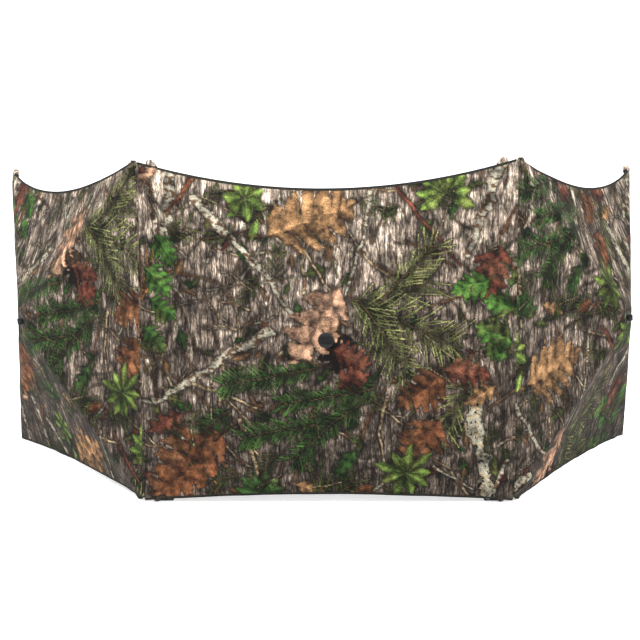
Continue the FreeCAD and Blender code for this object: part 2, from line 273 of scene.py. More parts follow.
class Ink:
    """The print at a set of cloth points: the colour of the nearest motif, and how far inside its edge."""

    def __init__(self, x, z):
        self.points = np.stack([x, z], axis=1)
        self.colour = np.tile(DARK, (len(x), 1))
        self.inside = np.full(len(x), -1.0)
        self.mottle = 0.6 * smooth_noise(x, z, 14 * MM, 31) + 0.4 * smooth_noise(x, z, 6 * MM, 32)
        self.flecks = smooth_noise(x, z * 1.6, 9 * MM, 33)
        self.broad = smooth_noise(x, z, 35 * MM, 34)
        self.low, self.high = self.points.min(axis=0), self.points.max(axis=0)
        self.shift = np.zeros(2)
        self.rng = None

    def near(self, low, high, among=None):
        """The points inside a rectangle of the pattern."""
        if (np.array(high) + self.shift < self.low).any() or (np.array(low) + self.shift > self.high).any():
            return np.array([], int)
        place = self.points if among is None else self.points[among]
        chosen = ((place > np.array(low) + self.shift) & (place < np.array(high) + self.shift)).all(axis=1)
        return np.flatnonzero(chosen) if among is None else among[chosen]

    def stamp(self, chosen, inside, colour):
        """Lays a motif over what is there; the older motifs get a dark rim beside it."""
        older = self.inside[chosen]
        shaded = (inside <= 0) & (inside > -INK_REACH) & (older > 0)
        shade = 0.5 + 0.5 * np.clip(-inside[shaded] / INK_REACH, 0, 1)
        self.colour[chosen[shaded]] *= shade[:, None]
        laid = (inside > 0) | (inside > older)
        self.colour[chosen[laid]] = colour[laid]
        self.inside[chosen] = np.maximum(older, inside)

    def along(self, chosen, base, tip):
        """Distances of the points along and across the line from base to tip, and its length."""
        base, tip = np.array(base, float), np.array(tip, float)
        length = float(np.hypot(*(tip - base)))
        forward = (tip - base) / length
        offset = self.points[chosen] - self.shift - base
        return offset @ forward, offset @ np.array([-forward[1], forward[0]]), length

    def leaf(self, base, tip, width, colour, lobes=0, vein=None, bend=0.0, among=None):
        """A leaf with a midrib, its stalk at base. With lobes it is an oak leaf."""
        chosen = self.near(*box_of([base, tip], width * 0.75), among)
        if not len(chosen):
            return
        s, t, length = self.along(chosen, base, tip)
        share = np.clip(s / length, 0, 1)
        t = t + bend * length * share * (1 - share)
        t = t + 0.10 * width * self.broad[chosen]
        half = width / 2 * np.sin(np.pi * share ** 0.85) ** 0.7 * (1 + 0.30 * self.flecks[chosen])
        phase = (share - 0.55 * np.abs(t) / length + 0.03 * np.sign(t)) * (lobes + 0.5)
        lobe = np.abs(np.sin(np.pi * phase))
        if lobes:
            half = half * (0.30 + 0.78 * lobe ** 0.6)
        inside = np.minimum(np.minimum(half - np.abs(t), s), length - s) * 0.8
        stalk = np.minimum(1.5 * MM - np.abs(t), np.minimum(s + 0.16 * length, length - s))
        inside = np.maximum(inside, stalk)
        light = 0.95 + 0.20 * np.sign(t) + 0.55 * self.mottle[chosen] + 0.4 * (lobe - 0.6) - 0.3 * (1 - share)
        light = light * (0.55 + 0.45 * fade(inside, 0, 7 * MM)) * (1 + 0.35 * self.broad[chosen])
        faded = fade(self.broad[chosen] + 0.4 * self.flecks[chosen], -0.1, 0.7)[:, None] * 0.5
        painted = (colour * (1 - faded) + BARK_BROWN * faded) * light.clip(0.2)[:, None]
        vein = colour * 1.5 if vein is None else vein
        spacing = length / (lobes + 0.5) if lobes else 9 * MM
        rows = phase if lobes else (s - 0.8 * np.abs(t)) / spacing
        off_row = np.abs((rows % 1) - 0.5) * spacing
        veins = np.exp(-(t / (1.6 * MM)) ** 2) + 0.5 * np.exp(-(off_row / (1.4 * MM)) ** 2)
        veins = (np.clip(veins, 0, 1) * 0.42)[:, None]
        self.stamp(chosen, inside, painted * (1 - veins) + vein * veins)

    def fan(self, middle, first, last, count, length, width, colour):
        """Leaflets that spread from one point, between two directions in degrees."""
        middle = np.array(middle)
        chosen = self.near(middle - length * 1.2, middle + length * 1.2)
        for step in range(count):
            angle = math.radians(first + (last - first) * step / max(count - 1, 1))
            reach = length * (0.82 + 0.3 * self.rng.random())
            tint = 0.8 + 0.45 * self.rng.random()
            tip = middle + reach * np.array([math.cos(angle), math.sin(angle)])
            start = middle + (tip - middle) * 0.12
            self.leaf(start, tip, width, colour * tint, among=chosen)

    def branch(self, route, width, colour, dark=BARK_BROWN, cover=0.15, flecks=False, among=None):
        """A branch along a route of points, patched with lichen, or a white trunk with black flecks."""
        count = len(route) - 1
        for index, (start, end) in enumerate(zip(route[:-1], route[1:])):
            chosen = self.near(*box_of([start, end], width + 2 * MM), among)
            if not len(chosen):
                continue
            s, t, length = self.along(chosen, start, end)
            share = (index + np.clip(s / length, 0, 1)) / count
            t = t + (2 * MM + 0.25 * width) * self.broad[chosen] + 0.1 * width * self.flecks[chosen]
            half = width / 2 * (1 - 0.45 * share)
            half = half * (1 + 0.30 * self.mottle[chosen] + 0.15 * self.flecks[chosen])
            beyond = np.maximum(np.maximum(-s, s - length), 0)
            inside = half - np.hypot(t, beyond)
            round_shade = 0.55 + 0.45 * np.sqrt(np.clip(1 - (t / half.clip(1e-4)) ** 2, 0, 1))
            patches = fade(self.flecks[chosen] + 0.5 * self.mottle[chosen], cover - 0.25, cover + 0.25)
            painted = colour * (1 - patches[:, None]) + dark * patches[:, None]
            if flecks:
                marks = fade(np.abs(self.mottle[chosen]), 0.42, 0.55)[:, None]
                painted = painted * (1 - marks) + DARK * marks
            painted = painted * (round_shade * (1 + 0.3 * self.mottle[chosen]))[:, None]
            self.stamp(chosen, inside, painted)

    def needle(self, base, tip, colour, tip_colour, among):
        """One needle, which changes to the tip's colour along its length."""
        chosen = self.near(*box_of([base, tip], NEEDLE_WIDTH + 2 * MM), among)
        if not len(chosen):
            return
        s, t, length = self.along(chosen, base, tip)
        beyond = np.maximum(np.maximum(-s, s - length), 0)
        inside = NEEDLE_WIDTH / 2 - np.hypot(t, beyond)
        share = np.clip(s / length, 0, 1)[:, None]
        self.stamp(chosen, inside, colour * (1 - share) + tip_colour * share)

    def spray(self, route, needle_length, spread, per_metre, colour=OLIVE, tip_colour=NEEDLE_TIP):
        """Needles on both sides of a twig, leaning towards its end by the spread in degrees."""
        chosen = self.near(*box_of(route, needle_length * 1.2))
        route = [np.array(place) for place in route]
        for start, end in zip(route[:-1], route[1:]):
            length = float(np.hypot(*(end - start)))
            heading = math.atan2(*(end - start)[::-1])
            for step in range(int(length * per_metre)):
                base = start + (end - start) * (step + self.rng.random()) / (length * per_metre)
                side = 1 if step % 2 else -1
                lean = heading + side * math.radians(spread * (0.45 + 0.8 * self.rng.random()))
                reach = needle_length * (0.6 + 0.55 * self.rng.random())
                tint = 0.55 + 0.75 * self.rng.random()
                tip = base + reach * np.array([math.cos(lean), math.sin(lean)])
                if len(chosen):
                    self.needle(base, tip, colour * tint, tip_colour * tint, chosen)
        self.branch(route, TWIG_WIDTH, BARK_BROWN, among=chosen)

    def tuft(self, base, tips, width, colour):
        """Grass blades from one root."""
        for tip in tips:
            middle = (np.array(base) + np.array(tip)) / 2 + np.array([0.006, 0.0])
            tint = 0.7 + 0.6 * self.rng.random()
            self.branch([base, tuple(middle), tip], width, colour * tint, colour * 0.6)


PRINT_HALF_WIDTH = 0.55      # small motifs are strewn this far to both sides of the middle
TWIGS, LITTER, SPRIGS, FRONT_TWIGS = 150, 150, 28, 46
SPRIG_LENGTH = 0.09


def somewhere(rng):
    """A random place in one repeat of the pattern."""
    return rng.uniform(-PRINT_HALF_WIDTH, PRINT_HALF_WIDTH), rng.uniform(0, 1)


def onward(place, heading, length):
    """The place at a distance from another one, in the direction of the heading."""
    return place[0] + length * math.cos(heading), place[1] + length * math.sin(heading)


def draw_undergrowth(ink):
    """Small twigs, leaves and grass that fill the ground between the large motifs."""
    rng = ink.rng
    wood = (LICHEN_WARM, BARK_BROWN, LICHEN * 0.7, ORANGE_BROWN * 0.6, BARK_BROWN * 0.6)
    green = (OLIVE * 0.7, DEEP_GREEN * 0.8, BRIGHT_GREEN * 0.6, TAN * 0.5, RED_BROWN * 0.8, OLIVE)
    for number in range(TWIGS):
        start = somewhere(rng)
        heading, length = rng.uniform(0, math.pi), rng.uniform(0.06, 0.24)
        kink = heading + rng.uniform(-0.5, 0.5)
        middle = onward(start, heading, length / 2)
        end = onward(middle, kink, length / 2)
        ink.branch([start, middle, end], rng.uniform(0.003, 0.009), wood[number % len(wood)])
    for number in range(LITTER):
        start = somewhere(rng)
        heading, length = rng.uniform(0, 2 * math.pi), rng.uniform(0.025, 0.065)
        width = length * rng.uniform(0.35, 0.6)
        ink.leaf(start, onward(start, heading, length), width, green[number % len(green)], lobes=number % 3)
    for number in range(SPRIGS):
        start = somewhere(rng)
        end = onward(start, rng.uniform(0, 2 * math.pi), SPRIG_LENGTH)
        ink.spray([start, end], rng.uniform(0.03, 0.06), 46, 240, OLIVE * 0.7, OLIVE * 1.3)


def draw_motifs(ink):
    """One repeat of the pattern: x from the middle of the panel, z from its foot."""
    draw_undergrowth(ink)
    # far branches and twigs
    ink.branch([(-.16, .515), (-.27, .46), (-.39, .37), (-.51, .30)], .030, LICHEN)
    ink.branch([(-.40, .36), (-.30, .335), (-.20, .30)], .010, LICHEN_WARM)
    ink.branch([(-.38, .90), (-.30, .81), (-.19, .70), (-.09, .57)], .022, LICHEN)
    ink.branch([(-.15, .88), (-.08, .77), (.02, .62)], .009, LICHEN_WARM)
    ink.branch([(.13, .94), (.11, .80), (.055, .62)], .013, LICHEN)
    ink.branch([(.19, .94), (.27, .83), (.385, .70)], .010, RED_BROWN * 1.4, RED_BROWN)
    ink.branch([(.50, 1.01), (.47, .89), (.405, .73)], .034, LICHEN)
    ink.branch([(-.45, .96), (-.455, .84), (-.49, .69)], .034, LICHEN)
    ink.branch([(-.385, .95), (-.42, .90), (-.455, .86)], .016, ORANGE_BROWN, RED_BROWN)
    ink.branch([(.405, .385), (.43, .24), (.46, .12), (.475, -.01)], .050, LICHEN, LICHEN_WARM, 0.3,
               flecks=True)
    ink.branch([(.31, .11), (.36, .075), (.43, .035)], .009, LICHEN)
    ink.branch([(.53, .12), (.50, .06), (.465, -.01)], .012, LICHEN)
    ink.branch([(-.02, .34), (-.07, .20), (-.10, .06)], .012, BARK_BROWN * 1.5)
    ink.branch([(.17, .33), (.15, .22), (.17, .10)], .010, LICHEN_WARM)
    ink.branch([(-.25, .26), (-.21, .12), (-.20, -.01)], .014, LICHEN_WARM)
    # conifer sprigs and pine sprays
    for route, length, per_metre, shade, tips in (
            ([(.14, .36), (.02, .33), (-.12, .31)], .052, 420, .75, 1.25),
            ([(.05, .25), (-.08, .235), (-.24, .205)], .052, 420, .75, 1.25),
            ([(-.02, .42), (-.14, .395), (-.30, .36)], .048, 420, .75, 1.25),
            ([(.10, .31), (.02, .25), (-.10, .13)], .050, 380, .6, 1),
            ([(-.28, .29), (-.34, .24), (-.38, .17)], .048, 380, .6, 1)):
        ink.spray(route, length, 46, per_metre, BRIGHT_GREEN * shade, BRIGHT_GREEN * tips)
    ink.spray([(.07, .61), (.18, .60), (.30, .66)], .085, 46, 230)
    ink.spray([(.09, .60), (.22, .54), (.36, .47)], .095, 50, 250)
    ink.spray([(.10, .60), (.17, .50), (.22, .40)], .080, 46, 230)
    ink.spray([(.16, .61), (.25, .70), (.31, .76)], .070, 40, 210)
    ink.spray([(.44, .38), (.38, .31), (.34, .21)], .070, 44, 230)
    # leaves at the top left
    ink.leaf((-.53, .93), (-.485, 1.01), .030, PINK_TAN)
    ink.leaf((-.56, .95), (-.50, .965), .026, PINK_TAN)
    ink.tuft((-.545, .60), [(-.50, .75), (-.52, .76), (-.545, .74), (-.49, .70)], .006, GRASS_ORANGE)
    ink.leaf((-.50, .79), (-.445, .70), .074, BRIGHT_GREEN, lobes=4)
    ink.leaf((-.53, .70), (-.455, .61), .080, BRIGHT_GREEN, lobes=4)
    ink.leaf((-.52, .60), (-.44, .545), .070, BRIGHT_GREEN * .8, lobes=4)
    ink.leaf((-.54, .52), (-.47, .45), .072, DEEP_GREEN * 1.3, lobes=4)
    ink.fan((-.235, .895), 20, 330, 7, .070, .034, YELLOW_GREEN * 1.2)
    ink.leaf((-.20, .83), (-.215, .775), .030, YELLOW_GREEN * 1.4)
    ink.leaf((-.17, .79), (.085, .885), .175, TAN, lobes=5, bend=.12)
    # left of the hub
    # a dark leaf shape just below the hub, under the pink leaf: painted shade
    ink.leaf((.03, .53), (.03, .40), .11, DARK * 1.5, lobes=3)
    ink.leaf((.035, .645), (-.105, .43), .135, PINK_TAN, lobes=4, vein=RED_BROWN, bend=-.1)
    # top right
    ink.fan((.34, .90), -20, 210, 8, .085, .036, YELLOW_GREEN)
    ink.leaf((.50, .755), (.455, .595), .115, RED_BROWN * 1.35, lobes=4)
    ink.leaf((.47, .655), (.355, .625), .088, BRIGHT_GREEN * 1.15, lobes=4)
    ink.leaf((.55, .57), (.455, .60), .080, BRIGHT_GREEN, lobes=3)
    ink.leaf((.54, .47), (.425, .52), .090, BRIGHT_GREEN * .9, lobes=4)
    ink.leaf((.53, .43), (.45, .455), .045, BRIGHT_GREEN * .8, lobes=3)
    # middle and lower right
    ink.leaf((.02, .47), (.125, .425), .085, RED_BROWN * 1.1, lobes=4)
    ink.leaf((.03, .36), (.12, .40), .082, RED_BROWN * 1.2, lobes=3)
    ink.leaf((.34, .38), (.205, .30), .125, ORANGE_BROWN * .8, lobes=5, bend=.1)
    ink.leaf((.32, .26), (.225, .13), .118, ORANGE_BROWN, lobes=4, vein=RED_BROWN)
    ink.leaf((.34, .405), (.475, .37), .090, RED_BROWN * 1.3, lobes=4)
    ink.leaf((.49, .34), (.395, .30), .052, TAN, lobes=3)
    ink.fan((.23, .09), 0, 325, 9, .088, .030, YELLOW_GREEN * .9)
    ink.leaf((.08, .16), (.02, .075), .050, DEEP_GREEN * 1.2, lobes=3)
    # lower left
    ink.leaf((-.305, .215), (-.515, .005), .185, ORANGE_BROWN, lobes=5, vein=DARK, bend=.1)
    ink.leaf((-.42, .27), (-.535, .21), .052, RED_BROWN * 1.2, lobes=3)
    ink.fan((-.20, .02), 15, 165, 6, .070, .032, DEEP_GREEN * 1.6)
    ink.leaf((-.095, .05), (.0, .015), .046, TAN * .9, lobes=3)
    ink.leaf((.08, .02), (.135, .045), .036, ORANGE_BROWN * .8)
    ink.tuft((-.03, .0), [(-.06, .12), (-.02, .14), (.02, .11)], .005, YELLOW_GREEN * .7)
    # fine twigs and blades in front of everything
    for number in range(FRONT_TWIGS):
        start, heading = somewhere(ink.rng), ink.rng.uniform(0, math.pi)
        end = onward(start, heading, ink.rng.uniform(.05, .16))
        colour = (LICHEN_WARM, BARK_BROWN * .6, OLIVE)[number % 3]
        ink.branch([start, end], ink.rng.uniform(.002, .0045), colour)


# where each panel is cut from the roll: how far its print is moved across and up
PRINT_SHIFT = {"centre": (0.0, 0.0), "left": (0.24, 0.22), "right": (-0.33, 0.52)}
PRINT_REPEAT = (1.10, 0.98)      # metres across and up


def printed(panel, x, z):
    """The print of a panel at panel points x and z."""
    ink = Ink(x, z + PANEL_HEIGHT / 2)
    shift_x, shift_z = PRINT_SHIFT[panel.name]
    copies = (0,) if panel.name == "centre" else (-1, 0, 1)
    for row in copies:
        for column in copies:
            ink.shift = np.array([shift_x + column * PRINT_REPEAT[0], shift_z + row * PRINT_REPEAT[1]])
            ink.rng = np.random.default_rng(PRINT_SEED)
            draw_motifs(ink)
    return ink


# ---------------------------------------------------------------- material nodes

def material(name):
    """A new material with only a Principled shader, and its node tree."""
    made = bpy.data.materials.new(name)
    made.use_nodes = True
    return made, made.node_tree


def plug(tree, target, inputs):
    """Sets a node's inputs. Each is a value, or another node's output to link."""
    for socket, source in inputs.items():
        if isinstance(source, bpy.types.NodeSocket):
            tree.links.new(source, target.inputs[socket])
        else:
            target.inputs[socket].default_value = source


def surface(tree, inputs):
    """Sets the inputs of a material's Principled shader."""
    plug(tree, tree.nodes["Principled BSDF"], inputs)


def node(tree, kind, inputs=None, **settings):
    """Adds a shader node with its settings and inputs."""
    made = tree.nodes.new("ShaderNode" + kind)
    for key, setting in settings.items():
        setattr(made, key, setting)
    plug(tree, made, inputs or {})
    return made


def own_place(tree):
    """The object's own coordinates."""
    return node(tree, "TexCoord").outputs["Object"]


def mapped(tree, value, low, high, start=0.0, end=1.0):
    """The value's range from start to end as low to high, held beyond."""
    return node(tree, "MapRange", {"Value": value, "From Min": start, "From Max": end,
                                   "To Min": low, "To Max": high}).outputs[0]


def attribute(tree, name, output):
    return node(tree, "Attribute", attribute_name=name).outputs[output]


def calc(tree, operation, *values):
    return node(tree, "Math", dict(enumerate(values)), operation=operation).outputs[0]


def stretched(tree, place, scale):
    """The place with each axis multiplied, to stretch a texture."""
    return node(tree, "VectorMath", {0: place, 1: scale}, operation="MULTIPLY").outputs[0]


def noise(tree, place, scale, detail=4.0, roughness=0.55, distortion=0.0):
    return node(tree, "TexNoise", {"Vector": place, "Scale": scale, "Detail": detail, "Roughness": roughness,
                                   "Distortion": distortion}).outputs["Fac"]


def ramp(tree, share, stops, interpolation="LINEAR"):
    """A colour ramp: stops are (position, colour) pairs, a colour being a grey or three shares."""
    made = node(tree, "ValToRGB", {"Fac": share})
    made.color_ramp.interpolation = interpolation
    points = made.color_ramp.elements
    while len(points) < len(stops):
        points.new(0.5)
    for point, (position, colour) in zip(points, stops):
        point.position = position
        shades = (colour,) * 3 if np.isscalar(colour) else tuple(colour)
        point.color = (*shades, 1)
    return made.outputs["Color"]


def mixed(tree, share, first, second, blend="MIX"):
    made = node(tree, "Mix", data_type="RGBA", blend_type=blend)
    for name, source in (("Factor", share), ("A", first), ("B", second)):
        socket = [item for item in made.inputs if item.name == name and item.enabled][0]
        if isinstance(source, bpy.types.NodeSocket):
            tree.links.new(source, socket)
        elif name == "Factor":
            socket.default_value = source
        else:
            socket.default_value = (*source, 1)
    return [item for item in made.outputs if item.enabled][0]


def bump(tree, height, distance, strength=1.0, before=None):
    inputs = {"Height": height, "Distance": distance, "Strength": strength}
    if before is not None:
        inputs["Normal"] = before
    return node(tree, "Bump", inputs).outputs["Normal"]


def weave(tree, place, threads):
    """The height of a plain weave, from 0 to 1, over the first two axes of place, in threads a metre."""
    pitch = math.pi * threads
    parts = node(tree, "SeparateXYZ", {0: place})
    over = calc(tree, "SINE", calc(tree, "MULTIPLY", parts.outputs[0], pitch))
    under = calc(tree, "SINE", calc(tree, "MULTIPLY", parts.outputs[1], pitch))
    crossed = calc(tree, "MULTIPLY", over, under)
    return calc(tree, "MULTIPLY_ADD", crossed, 0.5, 0.5)


def thread_rows(tree, distance, run, stitch=4 * MM, half_width=0.55 * MM):
    """1 on the threads of a row of stitches: distance is from the row and run is along it, in metres."""
    near_row = calc(tree, "LESS_THAN", calc(tree, "ABSOLUTE", distance), half_width)
    on_dash = calc(tree, "LESS_THAN", calc(tree, "FRACT", calc(tree, "DIVIDE", run, stitch)), 0.68)
    return calc(tree, "MULTIPLY", near_row, on_dash)


# ---------------------------------------------------------------- materials

BARK_DARK = srgb(46, 40, 37)
BARK_MID = srgb(112, 102, 93)
BARK_PALE = srgb(182, 172, 158)
CLOTH_THREADS = 1500         # a metre
PRINT_CONTRAST = 1.48
PRINT_SATURATION = 0.93
RAGGED = 4.4 * MM            # how much the edge of a motif wanders
MOTIF_EDGE = 0.6 * MM        # half the width of the change from bark to motif
MOTIF_SHADE = 0.42           # how dark the bark is right beside a motif


def bark(tree, place, height):
    """The colour of the ground of the print: streaked and cracked bark, with painted shade that darkens it towards
    the foot.
    """
    wandering = node(tree, "TexNoise", {"Vector": stretched(tree, place, (34, 16, 1)), "Scale": 1.0,
                                        "Detail": 6.0}).outputs["Color"]
    bent = node(tree, "VectorMath", {0: stretched(tree, place, (62, 9.5, 1)), 1: wandering},
                operation="ADD").outputs[0]
    cracks = node(tree, "TexVoronoi", {"Vector": bent, "Scale": 1.0, "Randomness": 1.0},
                  feature="DISTANCE_TO_EDGE").outputs["Distance"]
    fine = noise(tree, stretched(tree, place, (330, 66, 1)), 1.0, 6.0, 0.7, 0.3)
    streaks = noise(tree, stretched(tree, place, (84, 12, 1)), 1.0, 7.0, 0.66, 0.9)
    patches = noise(tree, stretched(tree, place, (9, 4, 1)), 1.0, 4.0, 0.55)
    # painted shade: the bark is lighter towards the top and darker towards the foot
    painted_shade_below = calc(tree, "MULTIPLY", calc(tree, "SUBTRACT", height, 0.5), 0.10)
    coarse = calc(tree, "MULTIPLY_ADD", streaks, 0.42, calc(tree, "MULTIPLY", patches, 0.2))
    level = calc(tree, "ADD", calc(tree, "MULTIPLY_ADD", fine, 0.42, coarse), painted_shade_below)
    plates = ramp(tree, level, [(0.38, BARK_DARK * 1.1), (0.48, BARK_MID * 0.75), (0.56, BARK_MID * 1.8),
                                (0.65, BARK_PALE * 1.5)])
    crack_shade = ramp(tree, cracks, [(0.0, 0.22), (0.06, 0.6), (0.17, 1.05)])
    return mixed(tree, 0.75, plates, crack_shade, "MULTIPLY")


def cloth_normal(tree, place, strength):
    """The weave of the cloth, and its crumpled surface."""
    woven = bump(tree, weave(tree, place, CLOTH_THREADS), 0.12 * MM, 0.35)
    return bump(tree, noise(tree, place, 34.0, 5.0, 0.6), 1.6 * MM, strength, woven)


def camouflage():
    """Printed polyester: leaves and branches over bark, with the weave in the bump."""
    made, tree = material("camouflage_cloth")
    place = attribute(tree, "cloth", "Vector")
    parts = node(tree, "SeparateXYZ", {0: place})
    width, height = parts.outputs[0], parts.outputs[1]
    ragged = calc(tree, "MULTIPLY_ADD", noise(tree, place, 240.0, 4.0), RAGGED, -RAGGED / 2)
    inside = calc(tree, "ADD", attribute(tree, "inside", "Fac"), ragged)
    shadow = mapped(tree, inside, 1.0, MOTIF_SHADE, -INK_REACH, -1 * MM)
    shadow = node(tree, "CombineXYZ", {0: shadow, 1: shadow, 2: shadow}).outputs[0]
    ground = mixed(tree, 1.0, bark(tree, place, height), shadow, "MULTIPLY")
    on_motif = mapped(tree, inside, 0.0, 1.0, -MOTIF_EDGE, MOTIF_EDGE)
    speckle = ramp(tree, noise(tree, place, 230.0, 5.0, 0.7), [(0.3, 0.5), (0.52, 0.95), (0.7, 1.45)])
    motif = mixed(tree, 1.0, attribute(tree, "ink", "Color"), speckle, "MULTIPLY")
    colour = mixed(tree, on_motif, ground, motif)
    sewn = thread_rows(tree, attribute(tree, "sewn", "Fac"), calc(tree, "ADD", width, height))
    colour = mixed(tree, calc(tree, "MULTIPLY", sewn, 0.8), colour, DARK * 0.6)
    dapple = ramp(tree, noise(tree, place, 21.0, 5.0, 0.6), [(0.36, 0.48), (0.5, 1.0), (0.64, 1.4)])
    colour = mixed(tree, 1.0, colour, dapple, "MULTIPLY")
    colour = node(tree, "Gamma", {"Color": colour, "Gamma": PRINT_CONTRAST}).outputs["Color"]
    colour = node(tree, "HueSaturation", {"Color": colour, "Saturation": PRINT_SATURATION}).outputs["Color"]
    surface(tree, {"Base Color": colour, "Normal": cloth_normal(tree, place, 0.5), "Roughness": 0.88,
                   "Specular IOR Level": 0.16})
    return made


def lining():
    """The dark coated side of the cloth, which faces the hider."""
    made, tree = material("dark_lining")
    place = attribute(tree, "cloth", "Vector")
    cloudy = noise(tree, place, 9.0, 6.0, 0.6)
    colour = ramp(tree, cloudy, [(0.3, srgb(26, 26, 25)), (0.7, srgb(46, 46, 44))])
    show_through = mixed(tree, 0.06, colour, attribute(tree, "ink", "Color"))
    surface(tree, {"Base Color": show_through, "Normal": cloth_normal(tree, place, 0.6),
                   "Roughness": mapped(tree, cloudy, 0.5, 0.7)})
    return made


def tape(name, pale, dark, ribs):
    """Woven tape or webbing with stitch rows. Its strip attribute holds run, across and row distance."""
    made, tree = material(name)
    place = attribute(tree, "strip", "Vector")
    parts = node(tree, "SeparateXYZ", {0: place})
    run, row = parts.outputs[0], parts.outputs[2]
    rib = calc(tree, "SINE", calc(tree, "MULTIPLY", run, 2 * math.pi * ribs))
    twill = weave(tree, place, ribs * 1.7)
    height = calc(tree, "MULTIPLY_ADD", rib, 0.25, twill)
    worn = noise(tree, place, 70.0, 5.0, 0.65)
    colour = ramp(tree, worn, [(0.3, dark), (0.72, pale)])
    colour = mixed(tree, calc(tree, "MULTIPLY", twill, 0.35), colour, dark)
    sewn = thread_rows(tree, row, run)
    colour = mixed(tree, sewn, colour, pale * 2.2)
    raised = bump(tree, height, 0.35 * MM, 0.7)
    surface(tree, {"Base Color": colour, "Normal": bump(tree, sewn, 0.5 * MM, 0.8, raised), "Roughness": 0.8,
                   "Specular IOR Level": 0.12})
    return made


def moulded_plastic():
    """Black moulded plastic with a fine spark texture and rubbed edges."""
    made, tree = material("moulded_plastic")
    place = own_place(tree)
    grain = noise(tree, place, 1400.0, 3.0, 0.6)
    scuffs = noise(tree, stretched(tree, place, (160, 160, 420)), 1.0, 5.0, 0.7)
    edges = node(tree, "Bevel", {"Radius": 1.2 * MM}, samples=4).outputs[0]
    face = node(tree, "NewGeometry").outputs["Normal"]
    turned = node(tree, "VectorMath", {0: edges, 1: face}, operation="DOT_PRODUCT").outputs["Value"]
    rubbed = calc(tree, "MULTIPLY", mapped(tree, turned, 0.0, 1.0, 0.995, 0.90), scuffs)
    colour = ramp(tree, scuffs, [(0.35, srgb(15, 15, 16)), (0.75, srgb(32, 32, 33))])
    surface(tree, {"Base Color": mixed(tree, rubbed, colour, srgb(92, 92, 92)),
                   "Roughness": mapped(tree, scuffs, 0.42, 0.62), "Normal": bump(tree, grain, 0.08 * MM, 0.6),
                   "Specular IOR Level": 0.25})
    return made


def fibreglass():
    """Pultruded rod: dark resin with fine fibres along it."""
    made, tree = material("fibreglass")
    place = own_place(tree)
    fibres = noise(tree, place, 700.0, 4.0, 0.7)
    patches = noise(tree, place, 30.0, 4.0, 0.6)
    colour = ramp(tree, fibres, [(0.3, srgb(20, 21, 22)), (0.7, srgb(52, 53, 53))])
    clouded = mixed(tree, 0.3, colour, ramp(tree, patches, [(0.3, 0.01), (0.7, 0.05)]))
    surface(tree, {"Base Color": clouded, "Roughness": mapped(tree, patches, 0.22, 0.42),
                   "Normal": bump(tree, fibres, 0.05 * MM, 0.5), "Coat Weight": 0.35, "Coat Roughness": 0.15})
    return made


def steel():
    """Bright steel with turning marks and small scratches."""
    made, tree = material("turned_steel")
    place = own_place(tree)
    marks = noise(tree, stretched(tree, place, (300, 300, 2600)), 1.0, 4.0, 0.7)
    stains = noise(tree, place, 60.0, 5.0, 0.6)
    colour = ramp(tree, stains, [(0.3, srgb(136, 134, 130)), (0.7, srgb(184, 184, 182))])
    surface(tree, {"Base Color": colour, "Roughness": mapped(tree, marks, 0.24, 0.46),
                   "Normal": bump(tree, marks, 0.03 * MM, 0.5), "Metallic": 1.0})
    return made


CAMOUFLAGE = camouflage()
LINING = lining()
BINDING = tape("edge_binding", srgb(36, 35, 30), srgb(15, 14, 12), 700)
WEBBING = tape("black_webbing", srgb(31, 31, 32), srgb(10, 10, 11), 420)
PLASTIC = moulded_plastic()
FIBREGLASS = fibreglass()
STEEL = steel()

CAD_MATERIALS = {"_rod": FIBREGLASS, "_ferrule": STEEL, "_cap": PLASTIC, "_hub_body": PLASTIC,
                 "_hub_pins": STEEL, "_hub_cover": PLASTIC}

for name, part in frame["nodes"].items():
    for ending, finish in CAD_MATERIALS.items():
        if name.endswith(ending):
            part.data.materials.clear()
            part.data.materials.append(finish)


# ---------------------------------------------------------------- mesh helpers

def round_turn(count):
    """Angles all the way round, evenly spaced."""
    return np.linspace(0, 2 * np.pi, count, endpoint=False)


def unit(vectors):
    return vectors / np.linalg.norm(vectors, axis=1)[:, None]


def run_along(route):
    """Distances along a route of points."""
    return np.concatenate([[0], np.cumsum(np.linalg.norm(np.diff(route, axis=0), axis=1))])


def strip_values(run, across, row):
    """The strip attribute of rings of tape: run, distance across, and distance from a row of stitches."""
    return np.stack(np.broadcast_arrays(run[:, None], across[None], row[None]), axis=-1)


def quad_mesh(name, points, quads, materials, slots=None, values=None, smooth_angle=50):
    """An object from row points and quads (n, 4), with values as named attributes of its points."""
    points, quads = np.asarray(points, np.float32), np.asarray(quads, np.int32)
    mesh = bpy.data.meshes.new(name)
    mesh.vertices.add(len(points))
    mesh.vertices.foreach_set("co", points.ravel())
    mesh.loops.add(quads.size)
    mesh.loops.foreach_set("vertex_index", quads.ravel())
    mesh.polygons.add(len(quads))
    mesh.polygons.foreach_set("loop_start", np.arange(0, quads.size, 4, dtype=np.int32))
    if slots is not None:
        mesh.polygons.foreach_set("material_index", np.asarray(slots, np.int32))
    mesh.update(calc_edges=True)
    mesh.validate()
    mesh.polygons.foreach_set("use_smooth", np.ones(len(mesh.polygons), bool))
    mesh.set_sharp_from_angle(angle=math.radians(smooth_angle))
    for key, value in (values or {}).items():
        value = np.asarray(value, np.float32)
        if value.ndim == 1:
            mesh.attributes.new(key, "FLOAT", "POINT").data.foreach_set("value", value)
        elif key == "ink":
            filled = np.concatenate([value, np.ones((len(value), 1), np.float32)], axis=1)
            mesh.attributes.new(key, "FLOAT_COLOR", "POINT").data.foreach_set("color", filled.ravel())
        else:
            mesh.attributes.new(key, "FLOAT_VECTOR", "POINT").data.foreach_set("vector", value.ravel())
    for item in materials:
        mesh.materials.append(item)
    made = bpy.data.objects.new(name, mesh)
    bpy.context.scene.collection.objects.link(made)
    return made


